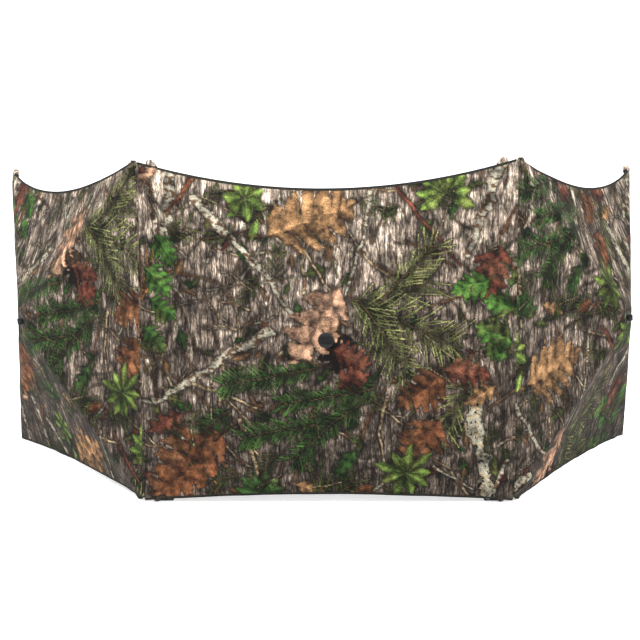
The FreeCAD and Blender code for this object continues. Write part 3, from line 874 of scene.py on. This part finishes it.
def two_layers(front, back, quads, values):
    """Closes two layers of points into a thin sheet.

    Returns its points, its quads, their slots (0 front, 1 back, 2 rim) and its values."""
    used = np.unique(quads)
    renumber = np.full(len(front), -1)
    renumber[used] = np.arange(len(used))
    quads = renumber[quads]
    count = len(used)
    sides = np.concatenate([quads[:, [k, (k + 1) % 4]] for k in range(4)])
    ordered = np.sort(sides, axis=1)
    _, index, times = np.unique(ordered, axis=0, return_index=True, return_counts=True)
    rim = sides[index[times == 1]]
    rim_quads = np.stack([rim[:, 1], rim[:, 0], rim[:, 0] + count, rim[:, 1] + count], axis=1)
    all_quads = np.concatenate([quads, quads[:, ::-1] + count, rim_quads])
    slots = np.repeat([0, 1, 2], [len(quads), len(quads), len(rim_quads)])
    points = np.concatenate([front[used], back[used]])
    values = {key: np.concatenate([value[used]] * 2) for key, value in values.items()}
    return points, all_quads, slots, values


def grid_quads(rows, columns, flip):
    """Quads of a grid of rows by columns of points."""
    numbers = np.arange(rows * columns).reshape(rows, columns)
    quads = np.stack([numbers[:-1, :-1], numbers[1:, :-1], numbers[1:, 1:], numbers[:-1, 1:]], axis=-1)
    quads = quads.reshape(-1, 4)
    return quads[:, ::-1] if flip else quads


def swept(rings, closed=False):
    """Quads for a stack of rings of points (rings, around, 3), with capped ends unless it is closed."""
    count, around = rings.shape[:2]
    numbers = np.arange(count * around).reshape(count, around)
    after = np.roll(numbers, -1, axis=1)
    lower, upper = (numbers, np.roll(numbers, -1, axis=0)) if closed else (numbers[:-1], numbers[1:])
    after_lower, after_upper = (after, np.roll(after, -1, axis=0)) if closed else (after[:-1], after[1:])
    quads = np.stack([lower, after_lower, after_upper, upper], axis=-1).reshape(-1, 4)
    if closed:
        return quads
    half = around // 2
    caps = []
    for ring, flip in ((numbers[0], True), (numbers[-1], False)):
        for k in range(half - 1):
            cap = [ring[k], ring[k + 1], ring[around - 2 - k], ring[around - 1 - k]]
            caps.append(cap[::-1] if flip else cap)
    return np.concatenate([quads, np.array(caps)])


def rounded_section(width, thickness, bevel):
    """The outline of a flat strip with rounded edges, as (across, out) pairs, an even number of points."""
    half, depth = width / 2, thickness / 2
    bevel = min(bevel, depth * 0.95)
    corner = [(1 - math.cos(a), math.sin(a)) for a in (0, math.pi / 4, math.pi / 2)]
    side = [(half - bevel * dx, depth - bevel * (1 - dz)) for dx, dz in corner]
    flats = [(half * share, depth) for share in (0.6, 0.2, -0.2, -0.6)]
    top = side + flats + [(-x, y) for x, y in side[::-1]]
    return np.array(top + [(-x, -y) for x, y in top])


STRAP_BEVEL = 0.8 * MM
LOOP_THICK = 1.8 * MM        # webbing of the pull loops and the corner loops


def strip(name, route, across, width, thickness, finish, rows=(), closed=False):
    """A flat strap along a route of row points; across gives its width direction at each point."""
    route, across = np.asarray(route, float), np.asarray(across, float)
    if closed:
        ahead = np.roll(route, -1, axis=0) - np.roll(route, 1, axis=0)
    else:
        ahead = np.gradient(route, axis=0)
    ahead = unit(ahead)
    across = unit(across - (across * ahead).sum(1)[:, None] * ahead)
    out = np.cross(across, ahead)
    section = rounded_section(width, thickness, STRAP_BEVEL)
    rings = route[:, None] + across[:, None] * section[None, :, :1] + out[:, None] * section[None, :, 1:]
    from_rows = [np.abs(np.abs(section[:, 0]) - row) for row in rows] or [np.full(len(section), 1.0)]
    strips = strip_values(run_along(route), section[:, 0], np.min(from_rows, axis=0))
    return quad_mesh(name, rings.reshape(-1, 3), swept(rings, closed), [finish],
                     values={"strip": strips.reshape(-1, 3)})


# ---------------------------------------------------------------- skins

PATCH = 46 * MM              # half of the hub patch
CORNER_PATCH = 92 * MM       # legs of the doubled triangle at each corner
SEAM_ROW = 7 * MM            # the row of stitches beside a seam or a free side
PATCH_POINTS = 42            # along a side of the hub patch
PATCH_LIFT = 0.5 * MM        # in front of the quarters
PATCH_SKIN = 0.45 * MM
PATCH_HOLE = 11 * MM         # round the tack of the pull loop


def sewn_distance(x, z):
    """Distance to the nearest row of stitches of the skin: the hub patch and the corner patches."""
    ax, az = np.abs(x), np.abs(z)
    corner = (CORNER_PATCH - (CLOTH_X - ax) - (CLOTH_Z - az)) / math.sqrt(2)
    beside_seam = ax - (CLOTH_X - SEAM_ROW)
    return np.minimum(np.minimum(np.abs(corner), np.abs(corner - 5 * MM)), np.abs(beside_seam))


def tangent_of(panel, across, up):
    """The direction across a pole in the plane of the panel, in the row frame."""
    spoke = panel.pins[across, up] - panel.hub
    return panel.y_axis.cross(spoke).normalized()


def follow_pole(piece, panel, across, up):
    """The piece rides on the pole, with a mesh of its own."""
    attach(piece, panel.pole_body(across, up))
    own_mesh(piece)


def grid_shares():
    """The shares of the way from the hub to the hems at which the cloth has points, across and up."""
    return tuple(np.linspace(0, 1, int(size / CELL) + 1) for size in (CLOTH_X, CLOTH_Z))


def cloth_place(x, z):
    """Where points of a panel lie on its cloth, for the printed material."""
    return np.stack([x, z + PANEL_HEIGHT / 2, np.zeros(len(x))], axis=1)


# where the allowance of a seam runs from the cloth's edge into the cord, in millimetres: inward from the
# seam's axis, and in front of it
SEAM_CURL = [(3.3, -4.7), (2.3, -3.2), (1.2, -1.6), (0.15, -0.7)]


def seam_allowance(panel, across, edge):
    """The columns of points that carry the edge of the cloth round into the cord of a seam."""
    wing = panel.name if panel.name != "centre" else SIDE_WORDS["centre"][across]
    axis_y = panel.to_panel(joint_place(wing + "_wing_fold"))[1]
    columns = []
    for inward, front in SEAM_CURL:
        column = edge.copy()
        column[:, 0] = across * (PANEL_WIDTH / 2 - inward * MM)
        column[:, 1] = axis_y + front * MM
        columns.append(column)
    return np.concatenate(columns)


def build_skin(panel):
    """The four quarters of a skin, each on its own pole, and the patch over the hub."""
    s, t = grid_shares()
    sheets = []
    for across, up in CORNERS:
        u, v = (item.ravel() for item in np.meshgrid(across * s, up * t, indexing="ij"))
        front = cloth_points(panel, u, v)
        if panel.seam(across):
            front = np.concatenate([front, seam_allowance(panel, across, front[-len(t):])])
        sheets.append(front)
    side = np.linspace(-PATCH, PATCH, PATCH_POINTS)
    x, z = (item.ravel() for item in np.meshgrid(side, side, indexing="ij"))
    sheets.append(np.stack([x, cloth_depth(panel, x, z) - PATCH_LIFT, z], axis=1))
    every = np.concatenate(sheets)
    ink = printed(panel, every[:, 0], every[:, 2])
    cuts = np.cumsum([len(item) for item in sheets])[:-1]
    prints = [{"ink": colour, "inside": inside}
              for colour, inside in zip(np.split(ink.colour, cuts), np.split(ink.inside, cuts))]
    for corner, front, values in zip(CORNERS, sheets, prints):
        build_quarter(panel, *corner, front, values)
    build_patch(panel, sheets[-1], prints[-1])


def build_quarter(panel, across, up, front, values):
    """A quarter of a skin with its hem binding. Its front has the points, and values has their print."""
    s, t = grid_shares()
    x, z = front[:, 0], front[:, 2]
    quads = grid_quads(len(front) // len(t), len(t), across * up > 0)
    quads = quads[(np.hypot(x, z)[quads] > HUB_HOLE).all(axis=1)]
    values = {"cloth": cloth_place(x, z), **values, "sewn": sewn_distance(x, z)}
    back = front + np.array([0, SKIN, 0])
    # the allowance gets thinner, to fit inside the cord
    back[len(s) * len(t):] = front[len(s) * len(t):] + np.array([0.3 * MM * across, 0.5 * MM, 0])
    points, quads, slots, values = two_layers(front, back, quads, values)
    name = "{}_skin_quarter".format(panel.pole(across, up))
    piece = quad_mesh(name, panel.to_row(points), quads, [CAMOUFLAGE, LINING, BINDING], slots, values)
    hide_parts(panel.name + "_skin")
    follow_pole(piece, panel, across, up)
    hems = build_binding(panel, across, up)
    panel.pole(across, up) + "_cap"


def build_patch(panel, front, values):
    """The doubled patch over the hub, with a stitched border and cross."""
    x, z = front[:, 0], front[:, 2]
    quads = grid_quads(PATCH_POINTS, PATCH_POINTS, False)
    quads = quads[(np.hypot(x, z)[quads] > PATCH_HOLE).all(axis=1)]
    border = PATCH - 4 * MM - np.maximum(np.abs(x), np.abs(z))
    cross = np.minimum(np.abs(x - 14 * MM), np.abs(z - 22 * MM))
    values = {"cloth": cloth_place(x + 13 * MM, z), **values, "sewn": np.minimum(np.abs(border), cross)}
    points, quads, slots, values = two_layers(front, front + np.array([0, PATCH_SKIN, 0]), quads, values)
    piece = quad_mesh(panel.name + "_hub_patch", panel.to_row(points), quads, [CAMOUFLAGE, LINING, BINDING],
                      slots, values)
    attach(piece, panel.hub_body())
    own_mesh(piece)


# ---------------------------------------------------------------- hem bindings

BINDING_WIDTH = 6 * MM
HEM_OVERHANG = 1.4 * MM      # of the tape's fold beyond the edge of the cloth
HEM_STITCHES = 0.75          # where the row of stitches runs, as a share of the tape's width
INWARD_STEP = 3              # points in from a hem that give the direction into the cloth
# the tape's outline round the edge of the cloth: the share of its width inward from the edge, and millimetres
# out of the front face
BINDING_OUTLINE = np.array([(1.0, 0.15), (1.0, 0.75), (0.6, 0.95), (0.2, 0.95), (0.0, 0.7), (0.0, -1.9),
                            (0.2, -2.15), (0.6, -2.15), (1.0, -1.95), (1.0, -1.35)])


def hem_rings(panel, u, v, inward_u, inward_v):
    """Rings of the folded tape along one hem of a quarter."""
    edge = cloth_points(panel, u, v)
    inward = unit(cloth_points(panel, inward_u, inward_v) - edge)
    ahead = unit(np.gradient(edge, axis=0))
    out = np.cross(ahead, inward)
    out *= -np.sign(out[:, 1])[:, None]
    along_in = BINDING_OUTLINE[:, 0] * (BINDING_WIDTH + HEM_OVERHANG) - HEM_OVERHANG
    rings = edge[:, None] + inward[:, None] * along_in[None, :, None]
    rings = rings + out[:, None] * (BINDING_OUTLINE[:, 1] * MM)[None, :, None]
    strips = strip_values(run_along(edge), along_in, along_in - HEM_STITCHES * BINDING_WIDTH)
    flip = np.sign(np.einsum("ij,ij->i", np.cross(inward, out), ahead).mean())
    return rings, strips, flip


def build_binding(panel, across, up):
    """Binding tape round the free hems of a quarter."""
    s, t = grid_shares()
    hems = [(across * s, np.full_like(s, up), across * s, np.full_like(s, up * t[-1 - INWARD_STEP]))]
    if not panel.seam(across):
        hems.append((np.full_like(t, across), up * t, np.full_like(t, across * s[-1 - INWARD_STEP]), up * t))
    points, quads, strips = [], [], []
    start = 0
    for u, v, inward_u, inward_v in hems:
        rings, values, flip = hem_rings(panel, u, v, inward_u, inward_v)
        faces = swept(rings)
        quads.append((faces if flip < 0 else faces[:, ::-1]) + start)
        points.append(rings.reshape(-1, 3))
        strips.append(values.reshape(-1, 3))
        start += rings.shape[0] * rings.shape[1]
    name = "{}_binding".format(panel.pole(across, up))
    piece = quad_mesh(name, panel.to_row(np.concatenate(points)), np.concatenate(quads), [BINDING],
                      values={"strip": np.concatenate(strips)})
    follow_pole(piece, panel, across, up)
    return piece


# ---------------------------------------------------------------- pull loops, welts, gussets, tabs

LOOP_BULGE = 0.78            # below 1 the loop is more box-shaped than an oval


def build_pull_loop(panel):
    """A soft loop of webbing on the front of the hub, tacked down in the middle."""
    low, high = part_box("centre_pull_loop")
    half_wide, half_deep, strap = (high.x - low.x) / 2, (high.y - low.y) / 2, high.z - low.z
    front = panel.to_panel(panel.hub)[1] - (joint_place("frame_fold").y - high.y)
    turn = round_turn(72)
    x = (half_wide - LOOP_THICK / 2) * np.sign(np.cos(turn)) * np.abs(np.cos(turn)) ** LOOP_BULGE
    y = np.sign(np.sin(turn)) * np.abs(np.sin(turn)) ** LOOP_BULGE
    y = front - half_deep + (half_deep - LOOP_THICK / 2) * y
    droop = -1.6 * MM * (1 - np.sin(turn)) / 2
    route = np.stack([x, y, droop], axis=1)
    lean = np.stack([0.05 * np.sin(turn + 0.6), 0.08 * np.cos(turn), np.ones_like(turn)], axis=1)
    piece = strip(panel.name + "_pull_strap", panel.to_row(route), lean @ panel.turn, strap - 1 * MM,
                  LOOP_THICK, WEBBING, rows=(strap / 2 - 3 * MM,), closed=True)
    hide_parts(panel.name + "_pull_loop")
    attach(piece, panel.hub_body())


def build_welt(wing):
    """The cloth-covered cord down a seam, puckered by its stitches."""
    low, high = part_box(wing + "_seam_welt")
    middle = (low + high) / 2
    radius = (high.x - low.x) / 2 - 0.1 * MM
    height = np.linspace(low.z, high.z, 300)
    turn = round_turn(16)
    pucker = 1 - 0.05 * (0.5 + 0.5 * np.sin(height / (11 * MM) * 2 * np.pi))
    ends = np.minimum(np.clip((height - low.z) / radius, 0, 1), np.clip((high.z - height) / radius, 0, 1))
    size = radius * pucker * np.sqrt(np.clip(1 - (1 - ends) ** 2, 0.04, 1))
    rings = np.stack([middle.x + size[:, None] * np.cos(turn), middle.y + size[:, None] * np.sin(turn),
                      np.repeat(height[:, None], len(turn), axis=1)], axis=2)
    sign = math.copysign(1, middle.x)
    x = np.tile(sign * PANEL_WIDTH / 2 + radius * np.sin(turn), len(height))
    z = (rings[..., 2] - middle.z).ravel()
    ink = printed(PANELS["centre"], x, z)
    values = {"cloth": cloth_place(x, z), "ink": ink.colour, "inside": ink.inside, "sewn": np.ones(len(x))}
    piece = quad_mesh(wing + "_seam_cord", rings.reshape(-1, 3), swept(rings), [CAMOUFLAGE], values=values)
    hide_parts(wing + "_seam_welt")
    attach(piece, wing + "_corner")
    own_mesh(piece)


GUSSET_POINTS = 24


def build_gusset(wing):
    """The webbing patch behind the top of a seam, with a sewn box."""
    low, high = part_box(wing + "_seam_gusset")
    middle = (low + high) / 2
    height = np.linspace(high.z, low.z, GUSSET_POINTS)
    bow = 0.8 * MM * np.sin(np.linspace(0, np.pi, GUSSET_POINTS))
    route = np.stack([np.full(GUSSET_POINTS, middle.x), middle.y + bow, height], axis=1)
    across = np.tile([1.0, 0, 0], (GUSSET_POINTS, 1))
    piece = strip(wing + "_seam_patch", route, across, high.x - low.x, high.y - low.y, WEBBING,
                  rows=((high.x - low.x) / 2 - 3 * MM,))
    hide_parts(wing + "_seam_gusset")
    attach(piece, wing + "_tip")


TAB_ROOT = 39 * MM           # from the stake hole back to the cap
TAB_END = 13 * MM            # and on to the tab's end
TAB_WIDTH = 24 * MM
TAB_THICK = 2.6 * MM
HOLE_RADIUS = 5.5 * MM
TAB_POWER = 8                # how square the tab's corners are
EYELET_INSIDE = 0.6 * MM     # how far the eyelet reaches into the hole
# the eyelet's section, in millimetres out from its inside and up from the middle of the tab
EYELET_SECTION = [(0.0, -1.6), (0.0, 1.6), (0.5, 2.0), (1.6, 2.1), (2.8, 1.7), (3.0, 1.35), (3.0, -1.35),
                  (2.8, -1.7), (1.6, -2.1), (0.5, -2.0)]


def build_stake_tab(panel, across):
    """A webbing tab with a steel eyelet, flat on the ground behind the bottom hem."""
    pole = panel.pole(across, -1)
    hole = panel.to_panel(MOUNTS[pole + "_stake_hole"]["pos_m"])
    inward = -across
    # rings of points from the edge of the hole out to the edge of the tab
    turn = round_turn(40)
    inner = np.stack([HOLE_RADIUS * np.cos(turn), HOLE_RADIUS * np.sin(turn)], axis=1)
    outer = tab_outline(turn, np.where(np.cos(turn) > 0, TAB_END, TAB_ROOT))
    rings = [inner + (outer - inner) * share for share in (0.0, 0.06, 0.3, 0.6, 0.85, 1.0)]
    flat = np.concatenate(rings)
    numbers = np.arange(len(flat)).reshape(len(rings), len(turn))
    after = np.roll(numbers, -1, axis=1)
    quads = np.stack([numbers[:-1], after[:-1], after[1:], numbers[1:]], axis=-1).reshape(-1, 4)
    height = np.full(len(flat), hole[2] + TAB_THICK / 2)
    top = np.stack([hole[0] + inward * flat[:, 0], hole[1] + flat[:, 1], height], axis=1)
    bottom = top - np.array([0, 0, TAB_THICK])
    ends = np.minimum(TAB_END - flat[:, 0], TAB_ROOT + flat[:, 0])
    edge = np.minimum(TAB_WIDTH / 2 - np.abs(flat[:, 1]), ends)
    values = {"strip": np.stack([flat[:, 0], flat[:, 1], edge - 3 * MM], axis=1)}
    if inward > 0:
        quads = quads[:, ::-1]
    points, quads, _, values = two_layers(top, bottom, quads, values)
    piece = quad_mesh(pole + "_tab", panel.to_row(points), quads[:, ::-1], [WEBBING], None, values)
    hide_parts(pole + "_stake_tab")
    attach(piece, panel.pole_body(across, -1))
    eyelet = build_eyelet(pole + "_eyelet", panel, hole)
    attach(eyelet, panel.pole_body(across, -1))


def tab_outline(turn, reach_x):
    """The tab's outline, seen from its hole: a strap with rounded corners, as rays at the given angles."""
    x, z = np.cos(turn), np.sin(turn)
    size = (np.abs(x / reach_x) ** TAB_POWER + np.abs(z / (TAB_WIDTH / 2)) ** TAB_POWER) ** (-1 / TAB_POWER)
    return np.stack([x * size, z * size], axis=1)


def build_eyelet(name, panel, hole):
    """A pressed steel ring through the tab."""
    rings = np.array([[[(HOLE_RADIUS - EYELET_INSIDE + r * MM) * math.cos(a) + hole[0],
                        (HOLE_RADIUS - EYELET_INSIDE + r * MM) * math.sin(a) + hole[1],
                        z * MM + hole[2]] for r, z in EYELET_SECTION] for a in round_turn(40)])
    piece = quad_mesh(name, panel.to_row(rings.reshape(-1, 3)), swept(rings, closed=True)[:, ::-1], [STEEL])
    return piece


# ---------------------------------------------------------------- corner pockets

CAP_LENGTH = 36 * MM
CAP_RADIUS = 8.2 * MM
POCKET_WALL = 1.3 * MM
POCKET_ROOM = 0.5 * MM       # between the cap and the pocket
POCKET_WIDE = 1.08           # how much wider than deep the pocket is
# the rings of a pocket, in millimetres back from the pole's tip
POCKET_STATIONS = [-30, -29, -24, -16, -8, -4, -3]
POCKET_HEM = 26              # the row of stitches at its mouth
CORNER_LOOP_WIDTH = 15 * MM
CORNER_LOOP_DROP = 15 * MM   # half of its height
CORNER_LOOP_BULGE = 2.2 * MM


def pole_line(panel, across, up):
    """The pole's pin, its direction and its length, from the box of its corner cap."""
    pin = panel.pins[across, up]
    low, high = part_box(panel.pole(across, up) + "_cap")
    middle = (low + high) / 2
    ahead = (middle - pin).normalized()
    reach = (middle - pin).length + CAP_LENGTH / 2
    return pin, ahead, reach


def build_pocket(panel, across, up):
    """The sleeve of printed cloth, sewn inside the corner, that holds the pole's cap."""
    pin, ahead, reach = pole_line(panel, across, up)
    side = tangent_of(panel, across, up)
    out = side.cross(ahead).normalized()
    turn = round_turn(28)
    outer, inner = [], []
    for index, station in enumerate(POCKET_STATIONS):
        middle = np.array(pin + ahead * (reach + station * MM))
        loose = 1 + 0.04 * np.sin(3 * turn + index) + 0.03 * np.sin(5 * turn - index)
        for rings, wall in ((outer, POCKET_WALL), (inner, 0.0)):
            size = (CAP_RADIUS + POCKET_ROOM) * loose + wall
            rings.append(middle + np.outer(np.cos(turn) * size * POCKET_WIDE, side)
                         + np.outer(np.sin(turn) * size, out))
    rings = np.array(outer + inner[::-1])
    points = rings.reshape(-1, 3)
    place = np.stack([(points - np.array(panel.middle)) @ np.array(panel.x_axis), points[:, 2],
                      np.zeros(len(points))], axis=1)
    stations = POCKET_STATIONS + POCKET_STATIONS[::-1]
    hem_row = np.repeat([abs(station + POCKET_HEM) * MM for station in stations], len(turn))
    values = {"cloth": place, "ink": np.zeros(place.shape), "inside": np.full(len(place), -1.0),
              "sewn": hem_row}
    piece = quad_mesh(panel.pole(across, up) + "_pocket", points, swept(rings, closed=True)[:, ::-1],
                      [CAMOUFLAGE], values=values)
    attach(piece, panel.pole_body(across, up))


def build_corner_loop(panel, across):
    """A folded webbing loop that hangs from an outer top corner."""
    pin, ahead, reach = pole_line(panel, across, 1)
    tip = panel.to_panel(pin + ahead * (reach - 14 * MM))
    turn = round_turn(48)
    x = tip[0] + across * (4 * MM + CORNER_LOOP_BULGE * np.cos(turn))
    y = np.full_like(turn, tip[1] - 3 * MM)
    z = tip[2] - 16 * MM + CORNER_LOOP_DROP * np.sin(turn)
    lean = np.tile([0.0, 1.0, 0.0], (len(turn), 1))
    route = panel.to_row(np.stack([x, y, z], axis=1))
    piece = strip(panel.pole(across, 1) + "_loop", route, lean @ panel.turn, CORNER_LOOP_WIDTH, LOOP_THICK,
                  WEBBING, rows=(5 * MM,), closed=True)
    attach(piece, panel.pole_body(across, 1))


# ---------------------------------------------------------------- the whole blind

PANELS = {name: Panel(name) for name in PANEL_NAMES}
for panel in PANELS.values():
    build_skin(panel)
    build_pull_loop(panel)
    for corner in CORNERS:
        build_pocket(panel, *corner)
for wing in ("left", "right"):
    build_welt(wing)
    build_gusset(wing)
for name, across in (("centre", -1), ("centre", 1), ("left", -1), ("right", 1)):
    build_stake_tab(PANELS[name], across)
build_corner_loop(PANELS["left"], -1)
build_corner_loop(PANELS["right"], 1)


# ---------------------------------------------------------------- floor, light and camera

FLOOR_FRONT, FLOOR_BACK, FLOOR_SIDE, FLOOR_HEIGHT = 14.0, 5.0, 16.0, 14.0
FLOOR_CURVE = 4.0            # radius between the floor and the backdrop


def build_stage():
    """A pale floor that curves up into a backdrop, and glows with painted light that grows with distance from the
    middle.
    """
    made, tree = material("studio_floor")
    place = own_place(tree)
    shade = ramp(tree, noise(tree, place, 0.8, 4.0), [(0.3, 0.86), (0.7, 0.90)])
    distance = node(tree, "VectorMath", {0: stretched(tree, place, (1, 1, 0))},
                    operation="LENGTH").outputs["Value"]
    # painted light: the floor glows, more the further it is from the middle
    surface(tree, {"Base Color": shade, "Roughness": 0.9, "Emission Color": (1, 1, 1, 1),
                   "Emission Strength": mapped(tree, distance, 0.34, 0.75, 2.5, 7.0)})
    profile = [(-FLOOR_FRONT, 0.0), (FLOOR_BACK, 0.0)]
    profile += [(FLOOR_BACK + FLOOR_CURVE * math.sin(a), FLOOR_CURVE - FLOOR_CURVE * math.cos(a))
                for a in np.linspace(0.1, math.pi / 2, 16)]
    profile += [(FLOOR_BACK + FLOOR_CURVE, FLOOR_HEIGHT)]
    points = [(x, y, z) for y, z in profile for x in (-FLOOR_SIDE, FLOOR_SIDE)]
    quads = [(2 * k, 2 * k + 1, 2 * k + 3, 2 * k + 2) for k in range(len(profile) - 1)]
    floor = quad_mesh("studio_backdrop", points, quads, [made])


def area_light(name, place, target, size, power, colour=(1, 1, 1)):
    light = bpy.data.lights.new(name, "AREA")
    light.shape = "DISK"
    light.size = size
    light.energy = power
    light.color = colour
    made = bpy.data.objects.new(name, light)
    made.location = place
    made.rotation_mode = "QUATERNION"
    made.rotation_quaternion = (Vector(target) - Vector(place)).to_track_quat("-Z", "Y")
    bpy.context.scene.collection.objects.link(made)


def light_scene():
    """Soft studio light: a white world, brighter to the camera, and four discs."""
    world = bpy.data.worlds.new("studio")
    world.use_nodes = True
    tree = world.node_tree
    seen = node(tree, "LightPath").outputs["Is Camera Ray"]
    plug(tree, tree.nodes["Background"], {"Color": (1, 1, 1, 1),
                                          "Strength": calc(tree, "MULTIPLY_ADD", seen, 0.6, 0.5)})
    bpy.context.scene.world = world
    area_light("overhead", (-0.3, -1.7, 3.6), (0, -0.1, 0.5), 2.2, 225)
    area_light("left_high", (-3.0, -1.0, 3.0), (-0.9, 0.1, 0.6), 1.4, 100)
    area_light("right_high", (3.0, -1.4, 2.6), (0.9, 0.1, 0.5), 1.4, 95)
    area_light("front_fill", (1.6, -5.0, 2.4), (0, 0, 0.5), 2.5, 55)


CAMERA_PLACE = (0.109, -3.650, 0.900)
CAMERA_PITCH = -6.2          # degrees
CAMERA_YAW = 1.57
CAMERA_ROLL = -0.4
CAMERA_LENS = 63.0           # millimetres
CAMERA_SENSOR = 36.0


def place_camera():
    camera = bpy.data.cameras.new("camera")
    camera.lens = CAMERA_LENS
    camera.sensor_width = CAMERA_SENSOR
    made = bpy.data.objects.new("camera", camera)
    made.location = CAMERA_PLACE
    angles = ((CAMERA_YAW, "Z"), (90 + CAMERA_PITCH, "X"), (CAMERA_ROLL, "Z"))
    yaw, pitch, roll = (Matrix.Rotation(math.radians(angle), 4, axis) for angle, axis in angles)
    turn = yaw @ pitch @ roll
    made.rotation_mode = "QUATERNION"
    made.rotation_quaternion = turn.to_quaternion()
    bpy.context.scene.collection.objects.link(made)
    bpy.context.scene.camera = made


build_stage()
light_scene()
place_camera()
bpy.context.scene.view_settings.view_transform = "Standard"
